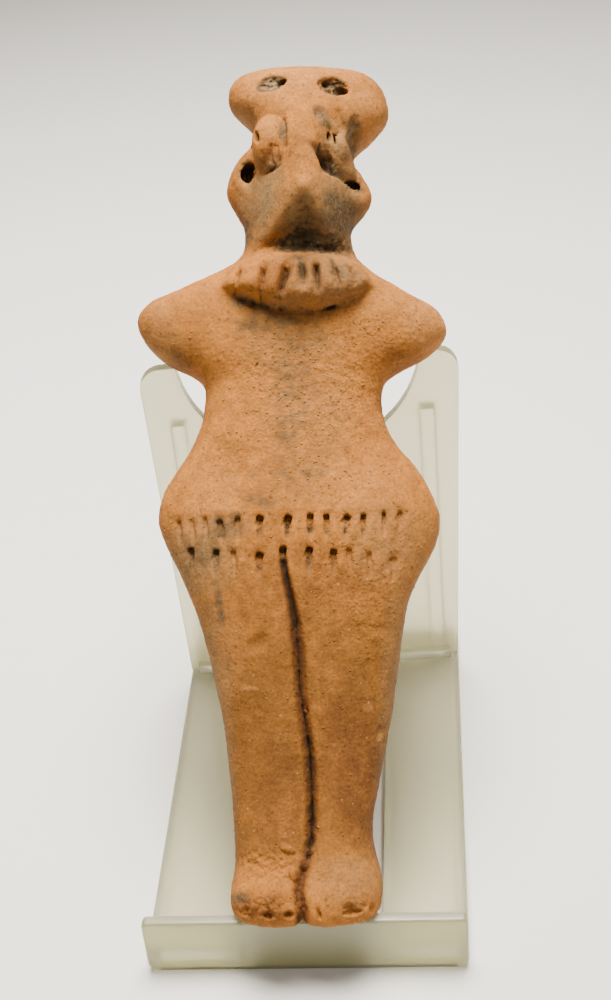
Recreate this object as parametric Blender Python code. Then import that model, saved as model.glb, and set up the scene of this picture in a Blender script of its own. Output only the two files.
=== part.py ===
"""Terracotta worshipper statuette, leaning back on a frosted plastic display easel.

The figure is shaped upright, facing -Y, in its own frame: x to the viewer's right, s up
its height, n forward from the plane of its back. It is then leaned on the easel, slid back
until it touches the back rest and down until it touches the lip.
"""

import math

import bmesh
import bpy
import numpy as np
from mathutils import Matrix, Vector
from mathutils.bvhtree import BVHTree

# Figure: its proportions and carving are written in millimetres of a figure this tall
HEIGHT = 0.142
UNIT = HEIGHT / 142.0

# The sole is cut on a slant, rising from the toes, and the lip holds it this far off the back
HEEL_SLOPE = 0.43
HEEL_FRONT = 14.0
HEEL_FADE = 16.0
SOLE_HOLD = 9.0

# How the figure stands askew on the easel
SIDE_TILT = math.radians(2.0)
SIDE_SHIFT = 0.0011

# Easel base: a tray turned upside down, with a standing lip in front
BASE_WIDTH = 0.051
BASE_DEPTH = 0.082
PLATE_TOP = 0.0037
WALL = 0.002
LIP_HEIGHT = 0.0109
SLOT_WIDTH = 0.0228
SLOT_LENGTH = 0.058
SLOT_SHIFT = 0.0005
SLOT_RIM = 0.0014
CORNER = 0.0018
CORNER_STEPS = 4

# Easel back rest: an upright plate with a round notch between two horns
REST_PLACE = 0.071
REST_HEIGHT = 0.0663
REST_FLARE = 0.0018
REST_SKEW = math.radians(3.5)
NOTCH_RADIUS = 0.0208
NOTCH_RAISE = 0.0015
NOTCH_STEPS = 28
HORN_ROUND = 0.004
HORN_STEPS = 6
RIB_WIDTH = 0.0024
RIB_DEPTH = 0.002
RIB_INSET = 0.0034
RIB_TOP_GAP = 0.0124
SILL_HEIGHT = 0.0018
SILL_DEPTH = 0.0014
SILL_INSET = 0.0015

EDGE_BEVEL = 0.0003
BEVEL_ANGLE = math.radians(60.0)
GAP = 0.0003

# Outline of the figure, (height, reach) to the left and to the right of its axis
LEFT = (
    (0.0, 11.8), (1.3, 12.3), (4.0, 12.4), (9.0, 11.6), (18.0, 11.9), (28.0, 12.9), (38.0, 14.6),
    (48.0, 16.9), (56.0, 20.1), (60.5, 22.2), (64.5, 23.3), (68.5, 22.3), (76.0, 17.4), (81.0, 15.5),
    (86.0, 15.1), (88.6, 17.2), (90.6, 21.2), (94.4, 25.0), (97.8, 26.2), (100.6, 24.7), (103.6, 18.0),
    (106.8, 11.0), (109.4, 8.1), (113.0, 7.9), (116.4, 9.4), (120.4, 11.0), (124.0, 9.9), (128.6, 6.4),
    (132.2, 8.0), (136.2, 10.2), (139.0, 9.6), (140.6, 7.4), (141.4, 4.8),
)
RIGHT = (
    (0.0, 10.8), (1.3, 11.3), (4.5, 11.3), (8.0, 10.9), (13.0, 10.1), (20.0, 11.4), (30.0, 13.6),
    (40.0, 15.4), (50.0, 17.3), (56.0, 20.5), (60.0, 22.5), (63.0, 22.9), (67.0, 21.8), (72.0, 19.1),
    (76.5, 15.6), (80.5, 14.1), (84.5, 13.8), (87.0, 15.4), (91.4, 23.2), (94.6, 25.3), (97.4, 24.3),
    (101.0, 19.2), (105.0, 13.4), (108.8, 10.2), (112.0, 9.8), (114.5, 11.4), (118.5, 13.6), (122.0, 12.0),
    (125.4, 10.6), (128.0, 13.6), (132.5, 17.0), (136.0, 16.4), (138.6, 14.6), (140.4, 11.0), (141.4, 7.0),
)

# Depth of the figure on its axis: back, front, and the forward reach of the pinched nose
BACK = (
    (0.0, 3.4), (1.6, 1.6), (5.0, 0.8), (13.0, 1.8), (40.0, 1.0), (62.0, 0.0), (80.0, 1.2),
    (95.0, 0.0), (106.0, 1.2), (112.0, 3.2), (120.0, 1.4), (132.0, 1.2), (139.0, 3.0), (141.4, 5.4),
)
FRONT = (
    (0.0, 15.6), (1.6, 16.8), (4.0, 17.2), (8.0, 15.8), (12.5, 14.2), (20.0, 13.8), (40.0, 14.6),
    (62.0, 15.6), (76.0, 14.6), (86.0, 13.8), (97.0, 14.2), (104.0, 13.2), (109.0, 11.8), (113.0, 11.4),
    (120.0, 12.0), (126.0, 13.0), (131.5, 13.8), (136.0, 13.0), (139.5, 11.4), (141.4, 8.8),
)
NOSE_REACH = (
    (106.0, 10.4), (113.0, 9.8), (116.2, 9.2), (118.0, 8.4), (121.0, 6.6), (126.0, 3.8), (131.0, 1.6),
    (135.0, 0.0),
)
NOSE_HALF_WIDTH = ((106.0, 9.4), (113.0, 9.4), (116.0, 9.0), (121.0, 6.6), (126.0, 3.4), (135.0, 2.4))
NOSE_FLAT = ((106.0, 0.2), (115.0, 0.5), (122.0, 1.3), (130.0, 2.2), (135.0, 2.4))
NOSE_LINE = ((0.0, 0.0), (100.0, 0.0), (108.0, 1.6), (115.0, 2.3), (132.0, 2.1), (142.0, 2.4))
NOSE_EDGE = 0.7
NOSE_POWER = 1.25
BEAK_FOOT = 106.8
BEAK_SLOPE = 1.08
BEAK_BLEND = 2.4

# How square the front of each section is: 2 is an ellipse
FULLNESS = (
    (0.0, 2.7), (12.0, 2.4), (25.0, 2.2), (60.0, 2.7), (76.0, 2.4), (97.0, 2.9), (110.0, 2.2), (142.0, 2.5),
)
BACK_FULLNESS = 3.2
SIDE_LINE = 0.46
LEG_VALLEY = 0.8
LEG_VALLEY_WIDTH = 2.6
LEG_VALLEY_TOP = 54.0
LEG_VALLEY_FADE = 10.0
WALL_SIDES = 36
RING_ZONES = ((5.0, 1.0), (86.0, 2.8), (107.0, 1.2), (121.0, 1.0), (138.0, 1.4), (141.4, 0.8))

# Applied and cut details, in the same millimetres
GROOVE = (
    (-2.0, -1.0), (1.2, -1.0), (5.1, -1.4), (12.6, 0.6), (18.3, 0.9), (25.0, 0.7), (34.8, -0.3), (46.6, -0.6),
    (51.6, -0.9), (55.9, -2.5),
)
GROOVE_HALF_WIDTH = ((-2.0, 1.2), (5.0, 0.8), (18.0, 0.7), (46.0, 0.5), (55.9, 0.3))
GROOVE_DEPTH = ((-2.0, 5.0), (5.0, 4.0), (18.0, 3.0), (46.0, 2.0), (55.9, 0.8))
GROOVE_STEPS = 21
CUTTER_PROUD = 1.5
PUNCHES = (
    (-19.3, 62.7), (-17.1, 62.6), (-14.9, 62.7), (-12.4, 62.4), (-9.7, 62.5), (-6.1, 62.6), (-1.6, 62.3),
    (2.0, 62.5), (4.6, 62.5), (7.7, 62.4), (10.4, 62.2), (13.7, 62.5), (16.2, 62.7),
    (-17.4, 58.0), (-13.3, 57.4), (-10.4, 57.2), (-6.3, 56.7), (-2.5, 57.4), (1.6, 57.3), (5.5, 56.8),
    (8.0, 56.9), (11.2, 56.2), (14.9, 55.5),
)
PUNCH_WIDTH = 1.0
PUNCH_HEIGHT = 1.8
PUNCH_DEPTH = 1.3
PUNCH_RUN_OUT = 0.15

# Collar: a pad of clay, broader below, with strokes pressed across it
COLLAR_CENTRE = (1.0, 102.6)
COLLAR_HALF_WIDTH = 12.2
COLLAR_HALF_HEIGHT = 5.5
COLLAR_TAPER = 0.14
COLLAR_SQUARENESS = 2.9
COLLAR_ROUNDNESS = 0.7
COLLAR_TURN = math.radians(-4.0)
COLLAR_RELIEF = 3.2
COLLAR_SWELL = 0.25
COLLAR_LIFT = 1.0
COLLAR_BED = 1.6
COLLAR_SIDES = 28
COLLAR_STEPS = (-70.0, -30.0, 0.0, 22.0, 42.0, 60.0, 78.0)
STROKES = (
    ((-8.6, 105.4), (-9.3, 100.6)), ((-4.3, 105.6), (-5.0, 99.0)), ((-0.3, 105.8), (-1.8, 98.6)),
    ((2.0, 105.4), (1.9, 100.0)), ((4.3, 105.4), (4.4, 98.6)), ((7.0, 105.2), (7.5, 99.2)),
    ((10.1, 104.6), (11.0, 101.2)),
)
STROKE_HALF_WIDTH = 0.55
STROKE_DEPTH = 1.1
STROKE_STEPS = 6

# Pellets laid on the face: (x, height, half width, half height, relief, turn in degrees)
PELLETS = (
    (-3.0, 126.3, 3.1, 4.7, 2.4, -6.0),
    (8.2, 124.4, 1.5, 5.4, 2.0, 28.0),
)

# Rounded hollows: (x, height, half width, half height, depth, turn in degrees)
HOLLOWS = (
    (-2.4, 137.1, 2.8, 1.6, 1.5, -14.0),
    (7.9, 136.0, 2.9, 1.8, 1.9, 16.0),
    (-6.9, 122.0, 1.2, 1.8, 3.4, -14.0),
    (11.0, 119.4, 0.9, 1.0, 2.6, 0.0),
    (-5.6, 127.2, 0.8, 1.2, 2.6, 10.0),
    (6.6, 127.4, 0.5, 1.1, 2.2, 0.0),
    (8.1, 126.8, 0.5, 1.1, 2.2, -10.0),
    (6.6, 122.6, 1.2, 3.7, 2.3, 40.0),
)
TOE_MARKS = ((-9.6, 2.8, 0.9), (-6.2, 2.3, 0.8), (1.3, 3.0, 0.6), (6.4, 2.9, 1.1), (8.8, 2.8, 0.6))
TOE_MARK_FLATNESS = 0.7

# Search for the place where the leaning figure touches the easel
SEARCH_REACH = 0.02
SEARCH_STEPS = 16
SEARCH_ROUNDS = 3


def material(name, colour, roughness, alpha=1.0):
    """Plain surface with one colour, given as linear RGB."""
    made = bpy.data.materials.new(name)
    made.use_nodes = True
    shader = made.node_tree.nodes["Principled BSDF"]
    shader.inputs["Base Color"].default_value = (*colour, 1.0)
    shader.inputs["Roughness"].default_value = roughness
    shader.inputs["Metallic"].default_value = 0.0
    shader.inputs["Alpha"].default_value = alpha
    return made


def add_object(name, mesh_builder, surface):
    """New object holding what a bmesh builder has made."""
    bmesh.ops.recalc_face_normals(mesh_builder, faces=mesh_builder.faces[:])
    mesh = bpy.data.meshes.new(name)
    mesh_builder.to_mesh(mesh)
    mesh_builder.free()
    made = bpy.data.objects.new(name, mesh)
    bpy.context.scene.collection.objects.link(made)
    if surface is not None:
        mesh.materials.append(surface)
    return made


def helper(made):
    """Mark an object as a cutter or an addition, which is no piece of its own."""
    made.hide_render = True
    made.display_type = "WIRE"
    return made


def boolean(target, other, operation):
    """Cut, or join, one object with another."""
    modifier = target.modifiers.new(other.name, "BOOLEAN")
    modifier.solver = "EXACT"
    modifier.operation = operation
    modifier.use_self = operation == "UNION"
    modifier.object = helper(other)
    other.parent = target


def bevel(target, width):
    """Break the sharp edges of a moulded piece."""
    modifier = target.modifiers.new("edge", "BEVEL")
    modifier.width = width
    modifier.segments = 1
    modifier.limit_method = "ANGLE"
    modifier.angle_limit = BEVEL_ANGLE


def add_box(builder, low, high):
    """Box between two corners."""
    size = Vector(high) - Vector(low)
    middle = (Vector(high) + Vector(low)) / 2
    place = Matrix.Translation(middle) @ Matrix.Diagonal((*size, 1.0))
    bmesh.ops.create_cube(builder, size=1.0, matrix=place)


def add_prism(builder, outline, near, far):
    """Extrude an outline of (x, z) points from y = near to y = far."""
    rows = [[builder.verts.new((x, y, z)) for x, z in outline] for y in (near, far)]
    count = len(outline)
    for i in range(count):
        j = (i + 1) % count
        builder.faces.new((rows[0][i], rows[0][j], rows[1][j], rows[1][i]))
    builder.faces.new(rows[0])
    builder.faces.new(rows[1][::-1])


def arc(centre, radius, start, end, steps):
    """Points on a circle between two angles in degrees."""
    angles = np.radians(np.linspace(start, end, steps + 1))
    return [(centre[0] + radius * math.cos(a), centre[1] + radius * math.sin(a)) for a in angles]


def add_loft(builder, rings):
    """Skin a stack of rings that have the same number of points, with flat ends."""
    rows = [[builder.verts.new(point) for point in ring] for ring in rings]
    count = len(rings[0])
    for low, high in zip(rows, rows[1:]):
        for i in range(count):
            j = (i + 1) % count
            builder.faces.new((low[i], low[j], high[j], high[i]))
    builder.faces.new(rows[0][::-1])
    builder.faces.new(rows[-1])


def curve(points, at):
    """Smooth curve through (height, value) points that never overshoots them."""
    heights, values = np.array(points).T
    steps = np.diff(heights)
    slopes = np.diff(values) / steps
    tangents = np.zeros(len(heights))
    for i in range(1, len(heights) - 1):
        if slopes[i - 1] * slopes[i] > 0.0:
            before = 2 * steps[i] + steps[i - 1]
            after = steps[i] + 2 * steps[i - 1]
            tangents[i] = (before + after) / (before / slopes[i - 1] + after / slopes[i])
    at = min(max(at, heights[0]), heights[-1])
    i = min(int(np.searchsorted(heights, at, side="right")) - 1, len(steps) - 1)
    t = (at - heights[i]) / steps[i]
    start = (1 + 2 * t) * (1 - t) ** 2 * values[i] + t * (1 - t) ** 2 * steps[i] * tangents[i]
    end = t * t * (3 - 2 * t) * values[i + 1] + t * t * (t - 1) * steps[i] * tangents[i + 1]
    return float(start + end)


def place(x, s, n):
    """Point of the upright figure, in metres; its sole rises from the toes to the heel."""
    fade = min(1.0, max(0.0, 1.0 - s / HEEL_FADE)) ** 2
    lifted = s + HEEL_SLOPE * (HEEL_FRONT - n) * fade
    return Vector((x, -n, lifted)) * UNIT


def nose_at(x, s):
    """How far the pinched nose stands forward of the face, cut off below by the beak's underside."""
    beside = max(0.0, abs(x - curve(NOSE_LINE, s)) - curve(NOSE_FLAT, s))
    distance = math.hypot(beside, NOSE_EDGE) - NOSE_EDGE
    share = max(0.0, 1.0 - distance / curve(NOSE_HALF_WIDTH, s))
    ridge = curve(NOSE_REACH, s) * share ** NOSE_POWER
    under = max(0.0, (s - BEAK_FOOT) * BEAK_SLOPE)
    overlap = max(0.0, BEAK_BLEND - abs(ridge - under)) ** 2 / (4 * BEAK_BLEND)
    return max(0.0, min(ridge, under) - overlap)


def valley_at(x, s):
    """Shallow dip where the two legs meet in front."""
    fade = min(1.0, max(0.0, (LEG_VALLEY_TOP - s) / LEG_VALLEY_FADE))
    return LEG_VALLEY * fade * math.exp(-(((x - curve(GROOVE, s)) / LEG_VALLEY_WIDTH) ** 2))


def side_at(s):
    """Depth of the widest line of the section at one height."""
    return curve(BACK, s) + SIDE_LINE * (curve(FRONT, s) - curve(BACK, s))


def front_at(x, s):
    """Depth of the front surface at a point."""
    middle = curve(NOSE_LINE, s)
    reach = curve(RIGHT, s) - middle if x > middle else curve(LEFT, s) + middle
    across = min(1.0, abs(x - middle) / reach)
    fullness = curve(FULLNESS, s)
    bulge = (1.0 - across ** fullness) ** (1.0 / fullness)
    side = side_at(s)
    return side + (curve(FRONT, s) - side) * bulge + nose_at(x, s) - valley_at(x, s)


def body_ring(s):
    """One section of the body: front half from the right side to the left, then the back."""
    middle = curve(NOSE_LINE, s)
    side = side_at(s)
    ring = []
    for i in range(WALL_SIDES):
        angle = 2 * math.pi * i / WALL_SIDES
        across = math.cos(angle)
        rise = math.sin(angle)
        fullness = curve(FULLNESS, s) if rise >= 0 else BACK_FULLNESS
        reach = curve(RIGHT, s) - middle if across >= 0 else curve(LEFT, s) + middle
        x = middle + reach * math.copysign(abs(across) ** (2 / fullness), across)
        if rise > 1e-6:
            n = front_at(x, s)
        else:
            n = side + (side - curve(BACK, s)) * math.copysign(abs(rise) ** (2 / BACK_FULLNESS), rise)
        ring.append(place(x, s, n))
    return ring


def ring_heights():
    """Heights of the sections, closer together at the arms, the head and the feet."""
    heights = [0.0]
    for top, step in RING_ZONES:
        count = max(1, round((top - heights[-1]) / step))
        heights += list(np.linspace(heights[-1], top, count + 1)[1:])
    return heights


def add_pellet(builder, centre, half, turn, sides, rings):
    """Ellipsoid at (x, s, n), turned in the figure's front plane, in degrees."""
    spin = Matrix.Rotation(math.radians(turn), 4, "Y")
    scale = Matrix.Diagonal((half[0] * UNIT, half[2] * UNIT, half[1] * UNIT, 1.0))
    where = Matrix.Translation(place(*centre)) @ spin @ scale
    bmesh.ops.create_uvsphere(builder, u_segments=sides, v_segments=rings, radius=1.0, matrix=where)


def add_wedge(builder, x, s):
    """Cut of a pointed tool: deepest above, running out below."""
    surface = front_at(x, s)
    proud = surface + CUTTER_PROUD
    profile = (
        (0.5, proud),
        (0.5, surface - PUNCH_DEPTH),
        (-0.5, surface - PUNCH_DEPTH * PUNCH_RUN_OUT),
        (-0.5, proud),
    )
    corners = []
    for across in (-0.5, 0.5):
        for up, n in profile:
            point = place(x + across * PUNCH_WIDTH, s + up * PUNCH_HEIGHT, n)
            corners.append(builder.verts.new(point))
    for i in range(4):
        j = (i + 1) % 4
        builder.faces.new((corners[i], corners[j], corners[j + 4], corners[i + 4]))
    builder.faces.new(corners[:4])
    builder.faces.new(corners[:3:-1])


def add_groove(builder, path):
    """Knife cut along a path of (x, s, surface, half width, depth), with a pointed section."""
    rings = []
    for x, s, surface, half, depth in path:
        flare = half * (1.0 + CUTTER_PROUD / depth)
        rings.append([
            place(x - flare, s, surface + CUTTER_PROUD),
            place(x + flare, s, surface + CUTTER_PROUD),
            place(x, s, surface - depth),
        ])
    add_loft(builder, rings)


def collar_relief(v, rho):
    """Height of the collar's pad above its bed: v is -1 below and 1 above, rho is 1 at its edge."""
    lift = COLLAR_LIFT * max(0.0, -v)
    dome = math.sqrt(max(0.0, 1.0 - rho ** (2 / COLLAR_ROUNDNESS)))
    return lift + COLLAR_RELIEF * (1.0 - COLLAR_SWELL * v) * dome


def collar_front(x, s):
    """Depth of the collar's front at a point, or of the bare figure outside it."""
    dx = x - COLLAR_CENTRE[0]
    ds = s - COLLAR_CENTRE[1]
    along = dx * math.cos(COLLAR_TURN) + ds * math.sin(COLLAR_TURN)
    v = (ds * math.cos(COLLAR_TURN) - dx * math.sin(COLLAR_TURN)) / COLLAR_HALF_HEIGHT
    w = along / (COLLAR_HALF_WIDTH * (1.0 - COLLAR_TAPER * v))
    rho = (abs(v) ** COLLAR_SQUARENESS + abs(w) ** COLLAR_SQUARENESS) ** (1.0 / COLLAR_SQUARENESS)
    return front_at(x, s) + (collar_relief(v, rho) if rho < 1.0 else 0.0)


def collar():
    """Pad of clay laid round the front of the neck, broadest and thickest below."""
    builder = bmesh.new()
    rings = []
    for step in COLLAR_STEPS:
        rho = math.cos(math.radians(step)) ** COLLAR_ROUNDNESS
        rise = math.sin(math.radians(step))
        ring = []
        for i in range(COLLAR_SIDES):
            angle = 2 * math.pi * i / COLLAR_SIDES
            power = 2 / COLLAR_SQUARENESS
            w = rho * math.copysign(abs(math.cos(angle)) ** power, math.cos(angle))
            v = rho * math.copysign(abs(math.sin(angle)) ** power, math.sin(angle))
            along = w * COLLAR_HALF_WIDTH * (1.0 - COLLAR_TAPER * v)
            up = v * COLLAR_HALF_HEIGHT
            x = COLLAR_CENTRE[0] + along * math.cos(COLLAR_TURN) - up * math.sin(COLLAR_TURN)
            s = COLLAR_CENTRE[1] + along * math.sin(COLLAR_TURN) + up * math.cos(COLLAR_TURN)
            n = front_at(x, s) + (collar_relief(v, rho) if rise >= 0.0 else COLLAR_BED * rise)
            ring.append(place(x, s, n))
        rings.append(ring)
    add_loft(builder, rings)
    return add_object("collar", builder, None)


def eye_pellets():
    """Pellets of clay for the eyes, the right one worn narrow and askew."""
    builder = bmesh.new()
    for x, s, across, up, relief, turn in PELLETS:
        add_pellet(builder, (x, s, front_at(x, s)), (across, up, relief), turn, 16, 8)
    return add_object("eye_pellets", builder, None)


def hollows():
    """Rounded hollows: crown pits, ear holes, eye holes, the dip beside the nose, toe marks."""
    builder = bmesh.new()
    for x, s, across, up, depth, turn in HOLLOWS:
        add_pellet(builder, (x, s, front_at(x, s)), (across, up, depth), turn, 12, 6)
    for x, s, radius in TOE_MARKS:
        half = (radius, TOE_MARK_FLATNESS * radius, radius)
        add_pellet(builder, (x, s, front_at(x, s)), half, 0.0, 8, 6)
    return add_object("hollows", builder, None)


def punched_rows():
    """Two rows of marks punched over the hips."""
    builder = bmesh.new()
    for x, s in PUNCHES:
        add_wedge(builder, x, s)
    return add_object("punched_rows", builder, None)


def collar_strokes():
    """Slots pressed across the collar, shallower at their ends."""
    builder = bmesh.new()
    for top, bottom in STROKES:
        path = []
        for t in np.linspace(0.0, 1.0, STROKE_STEPS):
            x = top[0] + t * (bottom[0] - top[0])
            s = top[1] + t * (bottom[1] - top[1])
            share = 0.5 + 2.0 * t * (1.0 - t)
            path.append((x, s, collar_front(x, s), STROKE_HALF_WIDTH * share, STROKE_DEPTH * share))
        add_groove(builder, path)
    return add_object("collar_strokes", builder, None)


def leg_groove():
    """Cut between the legs that widens and deepens to the feet."""
    builder = bmesh.new()
    path = []
    for s in np.linspace(GROOVE[0][0], GROOVE[-1][0], GROOVE_STEPS):
        x = curve(GROOVE, s)
        path.append((x, s, front_at(x, s), curve(GROOVE_HALF_WIDTH, s), curve(GROOVE_DEPTH, s)))
    add_groove(builder, path)
    return add_object("leg_groove", builder, None)


def statuette(surface):
    """The whole figure as one solid of fired clay."""
    builder = bmesh.new()
    add_loft(builder, [body_ring(s) for s in ring_heights()])
    made = add_object("statuette", builder, surface)
    for part, operation in (
        (collar(), "UNION"),
        (eye_pellets(), "UNION"),
        (hollows(), "DIFFERENCE"),
        (leg_groove(), "DIFFERENCE"),
        (punched_rows(), "DIFFERENCE"),
        (collar_strokes(), "DIFFERENCE"),
    ):
        boolean(made, part, operation)
    made.data.shade_smooth()
    return made


def add_tray(builder):
    """Outer block of the base: a thick plate whose front end stands up as the lip."""
    half = BASE_WIDTH / 2
    small = CORNER / 2
    foot = arc((-half + CORNER, CORNER), CORNER, 180, 270, CORNER_STEPS)
    foot += arc((half - CORNER, CORNER), CORNER, 270, 360, CORNER_STEPS)
    level = [(half, PLATE_TOP)]
    crown = arc((half - small, LIP_HEIGHT - small), small, 0, 90, CORNER_STEPS)
    crown += arc((small - half, LIP_HEIGHT - small), small, 90, 180, CORNER_STEPS)
    outline = foot + level + crown + [(-half, PLATE_TOP)]
    front = [builder.verts.new((x, 0.0, z)) for x, z in outline]
    behind = [builder.verts.new((x, WALL, z)) for x, z in outline]
    low = len(foot) + 1
    shared = behind[:low] + behind[-1:]
    end = [builder.verts.new((v.co.x, BASE_DEPTH, v.co.z)) for v in shared]
    for near, far in ((front, behind), (shared, end)):
        for i in range(len(near)):
            j = (i + 1) % len(near)
            builder.faces.new((near[i], near[j], far[j], far[i]))
    builder.faces.new(front)
    builder.faces.new(end)
    builder.faces.new(behind[low - 1:])


def easel_base(surface):
    """Shallow tray turned upside down, with a standing lip and a long slot."""
    half = BASE_WIDTH / 2
    builder = bmesh.new()
    add_tray(builder)
    made = add_object("easel_base", builder, surface)
    bevel(made, EDGE_BEVEL)

    builder = bmesh.new()
    add_box(builder, (-half + WALL, WALL, -WALL), (half - WALL, BASE_DEPTH - WALL, PLATE_TOP - WALL))
    boolean(made, add_object("underside", builder, None), "DIFFERENCE")

    left = SLOT_SHIFT - SLOT_WIDTH / 2
    right = SLOT_SHIFT + SLOT_WIDTH / 2
    end = WALL + SLOT_LENGTH
    builder = bmesh.new()
    rim_low = (left - SLOT_RIM, WALL / 2, 0.0004)
    add_box(builder, rim_low, (right + SLOT_RIM, end + SLOT_RIM, PLATE_TOP - WALL / 2))
    boolean(made, add_object("slot_rim", builder, None), "UNION")

    builder = bmesh.new()
    add_box(builder, (left, WALL, -WALL), (right, end, PLATE_TOP + WALL / 2))
    boolean(made, add_object("slot", builder, None), "DIFFERENCE")
    return made


def rest_outline():
    """Outline of the back rest in (x, z), z up from its foot."""
    foot = BASE_WIDTH / 2
    head = foot + REST_FLARE
    top = REST_HEIGHT
    start = -math.degrees(math.asin(NOTCH_RAISE / NOTCH_RADIUS))
    outline = [(-foot, 0.0), (foot, 0.0)]
    outline += arc((head - HORN_ROUND, top - HORN_ROUND), HORN_ROUND, 0, 90, HORN_STEPS)
    outline += arc((0.0, top + NOTCH_RAISE), NOTCH_RADIUS, start, -180 - start, NOTCH_STEPS)
    outline += arc((HORN_ROUND - head, top - HORN_ROUND), HORN_ROUND, 90, 180, HORN_STEPS)
    return outline


def easel_back(surface):
    """Upright back rest with two ribs behind and a low sill in front."""
    builder = bmesh.new()
    add_prism(builder, rest_outline(), 0.0, WALL)
    made = add_object("easel_back", builder, surface)

    rib_top = REST_HEIGHT - RIB_TOP_GAP
    rib_out = BASE_WIDTH / 2 - RIB_INSET + REST_FLARE / 2
    for side, name in ((-1, "rib_left"), (1, "rib_right")):
        builder = bmesh.new()
        edges = sorted((side * rib_out, side * (rib_out - RIB_WIDTH)))
        add_box(builder, (edges[0], WALL / 2, 0.0), (edges[1], WALL + RIB_DEPTH, rib_top))
        boolean(made, add_object(name, builder, None), "UNION")

    builder = bmesh.new()
    reach = BASE_WIDTH / 2 - SILL_INSET
    add_box(builder, (-reach, -SILL_DEPTH, 0.0), (reach, WALL / 2, SILL_HEIGHT))
    boolean(made, add_object("sill", builder, None), "UNION")
    bevel(made, EDGE_BEVEL)
    return made


def world_tree(made):
    """Search tree and points of an object's finished mesh, in world space."""
    bpy.context.view_layer.update()
    finished = made.evaluated_get(bpy.context.evaluated_depsgraph_get())
    mesh = finished.to_mesh()
    points = [made.matrix_world @ v.co for v in mesh.vertices]
    faces = [tuple(f.vertices) for f in mesh.polygons]
    finished.to_mesh_clear()
    return BVHTree.FromPolygons(points, faces), points, faces


def clearance(points, faces, shift, rest):
    """Smallest distance from the shifted figure to a piece of the easel, 0 where they cross."""
    tree, corners = rest[0], rest[1]
    moved = [p + shift for p in points]
    own = BVHTree.FromPolygons(moved, faces)
    if own.overlap(tree):
        return 0.0
    near = min(own.find_nearest(c)[3] for c in corners)
    return min(near, min(tree.find_nearest(p)[3] for p in moved))


def slide(points, faces, start, way, rest, reach):
    """Travel along a way until the gap to a piece of the easel is the fit's gap."""
    free, held = 0.0, reach
    for _ in range(SEARCH_STEPS):
        middle = (free + held) / 2
        if clearance(points, faces, start + way * middle, rest) > GAP:
            free = middle
        else:
            held = middle
    return start + way * free


def lean_angle():
    """Lean at which the sole stands on the lip while the back touches the horns."""
    along = REST_PLACE - WALL
    rise = PLATE_TOP + GAP + REST_HEIGHT - LIP_HEIGHT
    return math.atan2(along, rise) - math.asin(SOLE_HOLD * UNIT / math.hypot(along, rise))


def lean_on_easel(figure, base, back):
    """Turn the figure back, then slide it against the back rest and down on the lip."""
    turn = Matrix.Rotation(REST_SKEW, 4, "Z") @ Matrix.Rotation(-lean_angle(), 4, "X")
    turn = turn @ Matrix.Rotation(SIDE_TILT, 4, "Y")
    figure.matrix_world = turn
    _, points, faces = world_tree(figure)
    base_tree = world_tree(base)
    back_tree = world_tree(back)
    up = (turn @ Vector((0.0, 0.0, 1.0))).normalized()
    forward = (turn @ Vector((0.0, -1.0, 0.0))).normalized()
    shift = Vector((SIDE_SHIFT, 0.0, LIP_HEIGHT)) + up * SEARCH_REACH / 4
    for _ in range(SEARCH_ROUNDS):
        shift = slide(points, faces, shift + forward * SEARCH_REACH, -forward, back_tree, 3 * SEARCH_REACH)
        shift = slide(points, faces, shift + up * SEARCH_REACH / 2, -up, base_tree, 2 * SEARCH_REACH)
    figure.matrix_world = Matrix.Translation(shift) @ turn


def centre(pieces):
    """Bring the middle of the whole over the origin, standing on z = 0."""
    points = [p for piece in pieces for p in world_tree(piece)[1]]
    low = [min(p[i] for p in points) for i in range(3)]
    high = [max(p[i] for p in points) for i in range(3)]
    shift = Matrix.Translation((-(low[0] + high[0]) / 2, -(low[1] + high[1]) / 2, -low[2]))
    for piece in pieces:
        piece.matrix_world = shift @ piece.matrix_world


def main():
    """Model the easel, model the figure, lean it and centre the whole."""
    for old in list(bpy.data.objects):
        bpy.data.objects.remove(old, do_unlink=True)
    clay = material("fired_clay", (0.50, 0.235, 0.115), 0.85)
    plastic = material("frosted_polystyrene", (0.78, 0.80, 0.70), 0.45, 0.55)
    base = easel_base(plastic)
    back = easel_back(plastic)
    seat = Matrix.Translation((0.0, REST_PLACE, PLATE_TOP + GAP))
    back.matrix_world = seat @ Matrix.Rotation(REST_SKEW, 4, "Z")
    figure = statuette(clay)
    lean_on_easel(figure, base, back)
    centre((base, back, figure))


main()
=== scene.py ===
"""Looks of a terracotta worshipper statuette leaning back on a frosted plastic display easel.

The figure is worked in its own frame, in millimetres: x to the viewer's right, s up its height
from the sole, n forward from the plane of its back. PLACE says how it leans in the world.
"""

import math

import bmesh
import bpy
import numpy as np
from mathutils import Matrix, Vector, noise
from mathutils.bvhtree import BVHTree


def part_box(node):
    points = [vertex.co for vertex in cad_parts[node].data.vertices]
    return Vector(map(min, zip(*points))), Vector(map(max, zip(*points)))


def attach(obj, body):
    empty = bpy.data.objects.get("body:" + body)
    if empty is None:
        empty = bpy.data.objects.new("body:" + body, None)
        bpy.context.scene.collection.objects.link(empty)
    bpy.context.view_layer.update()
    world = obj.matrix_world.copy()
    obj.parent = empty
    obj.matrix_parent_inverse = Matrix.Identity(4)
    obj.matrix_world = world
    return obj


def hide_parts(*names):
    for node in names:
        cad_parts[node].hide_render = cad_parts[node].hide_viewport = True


bl_info = {
    "name": "Terracotta Worshipper Statuette",
    "version": (1, 0, 0),
    "blender": (4, 5, 0),
    "location": "View3D > Sidebar > Statuette",
    "description": "Finishes a clay statuette and its frosted display easel",
    "category": "Object",
}

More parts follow.
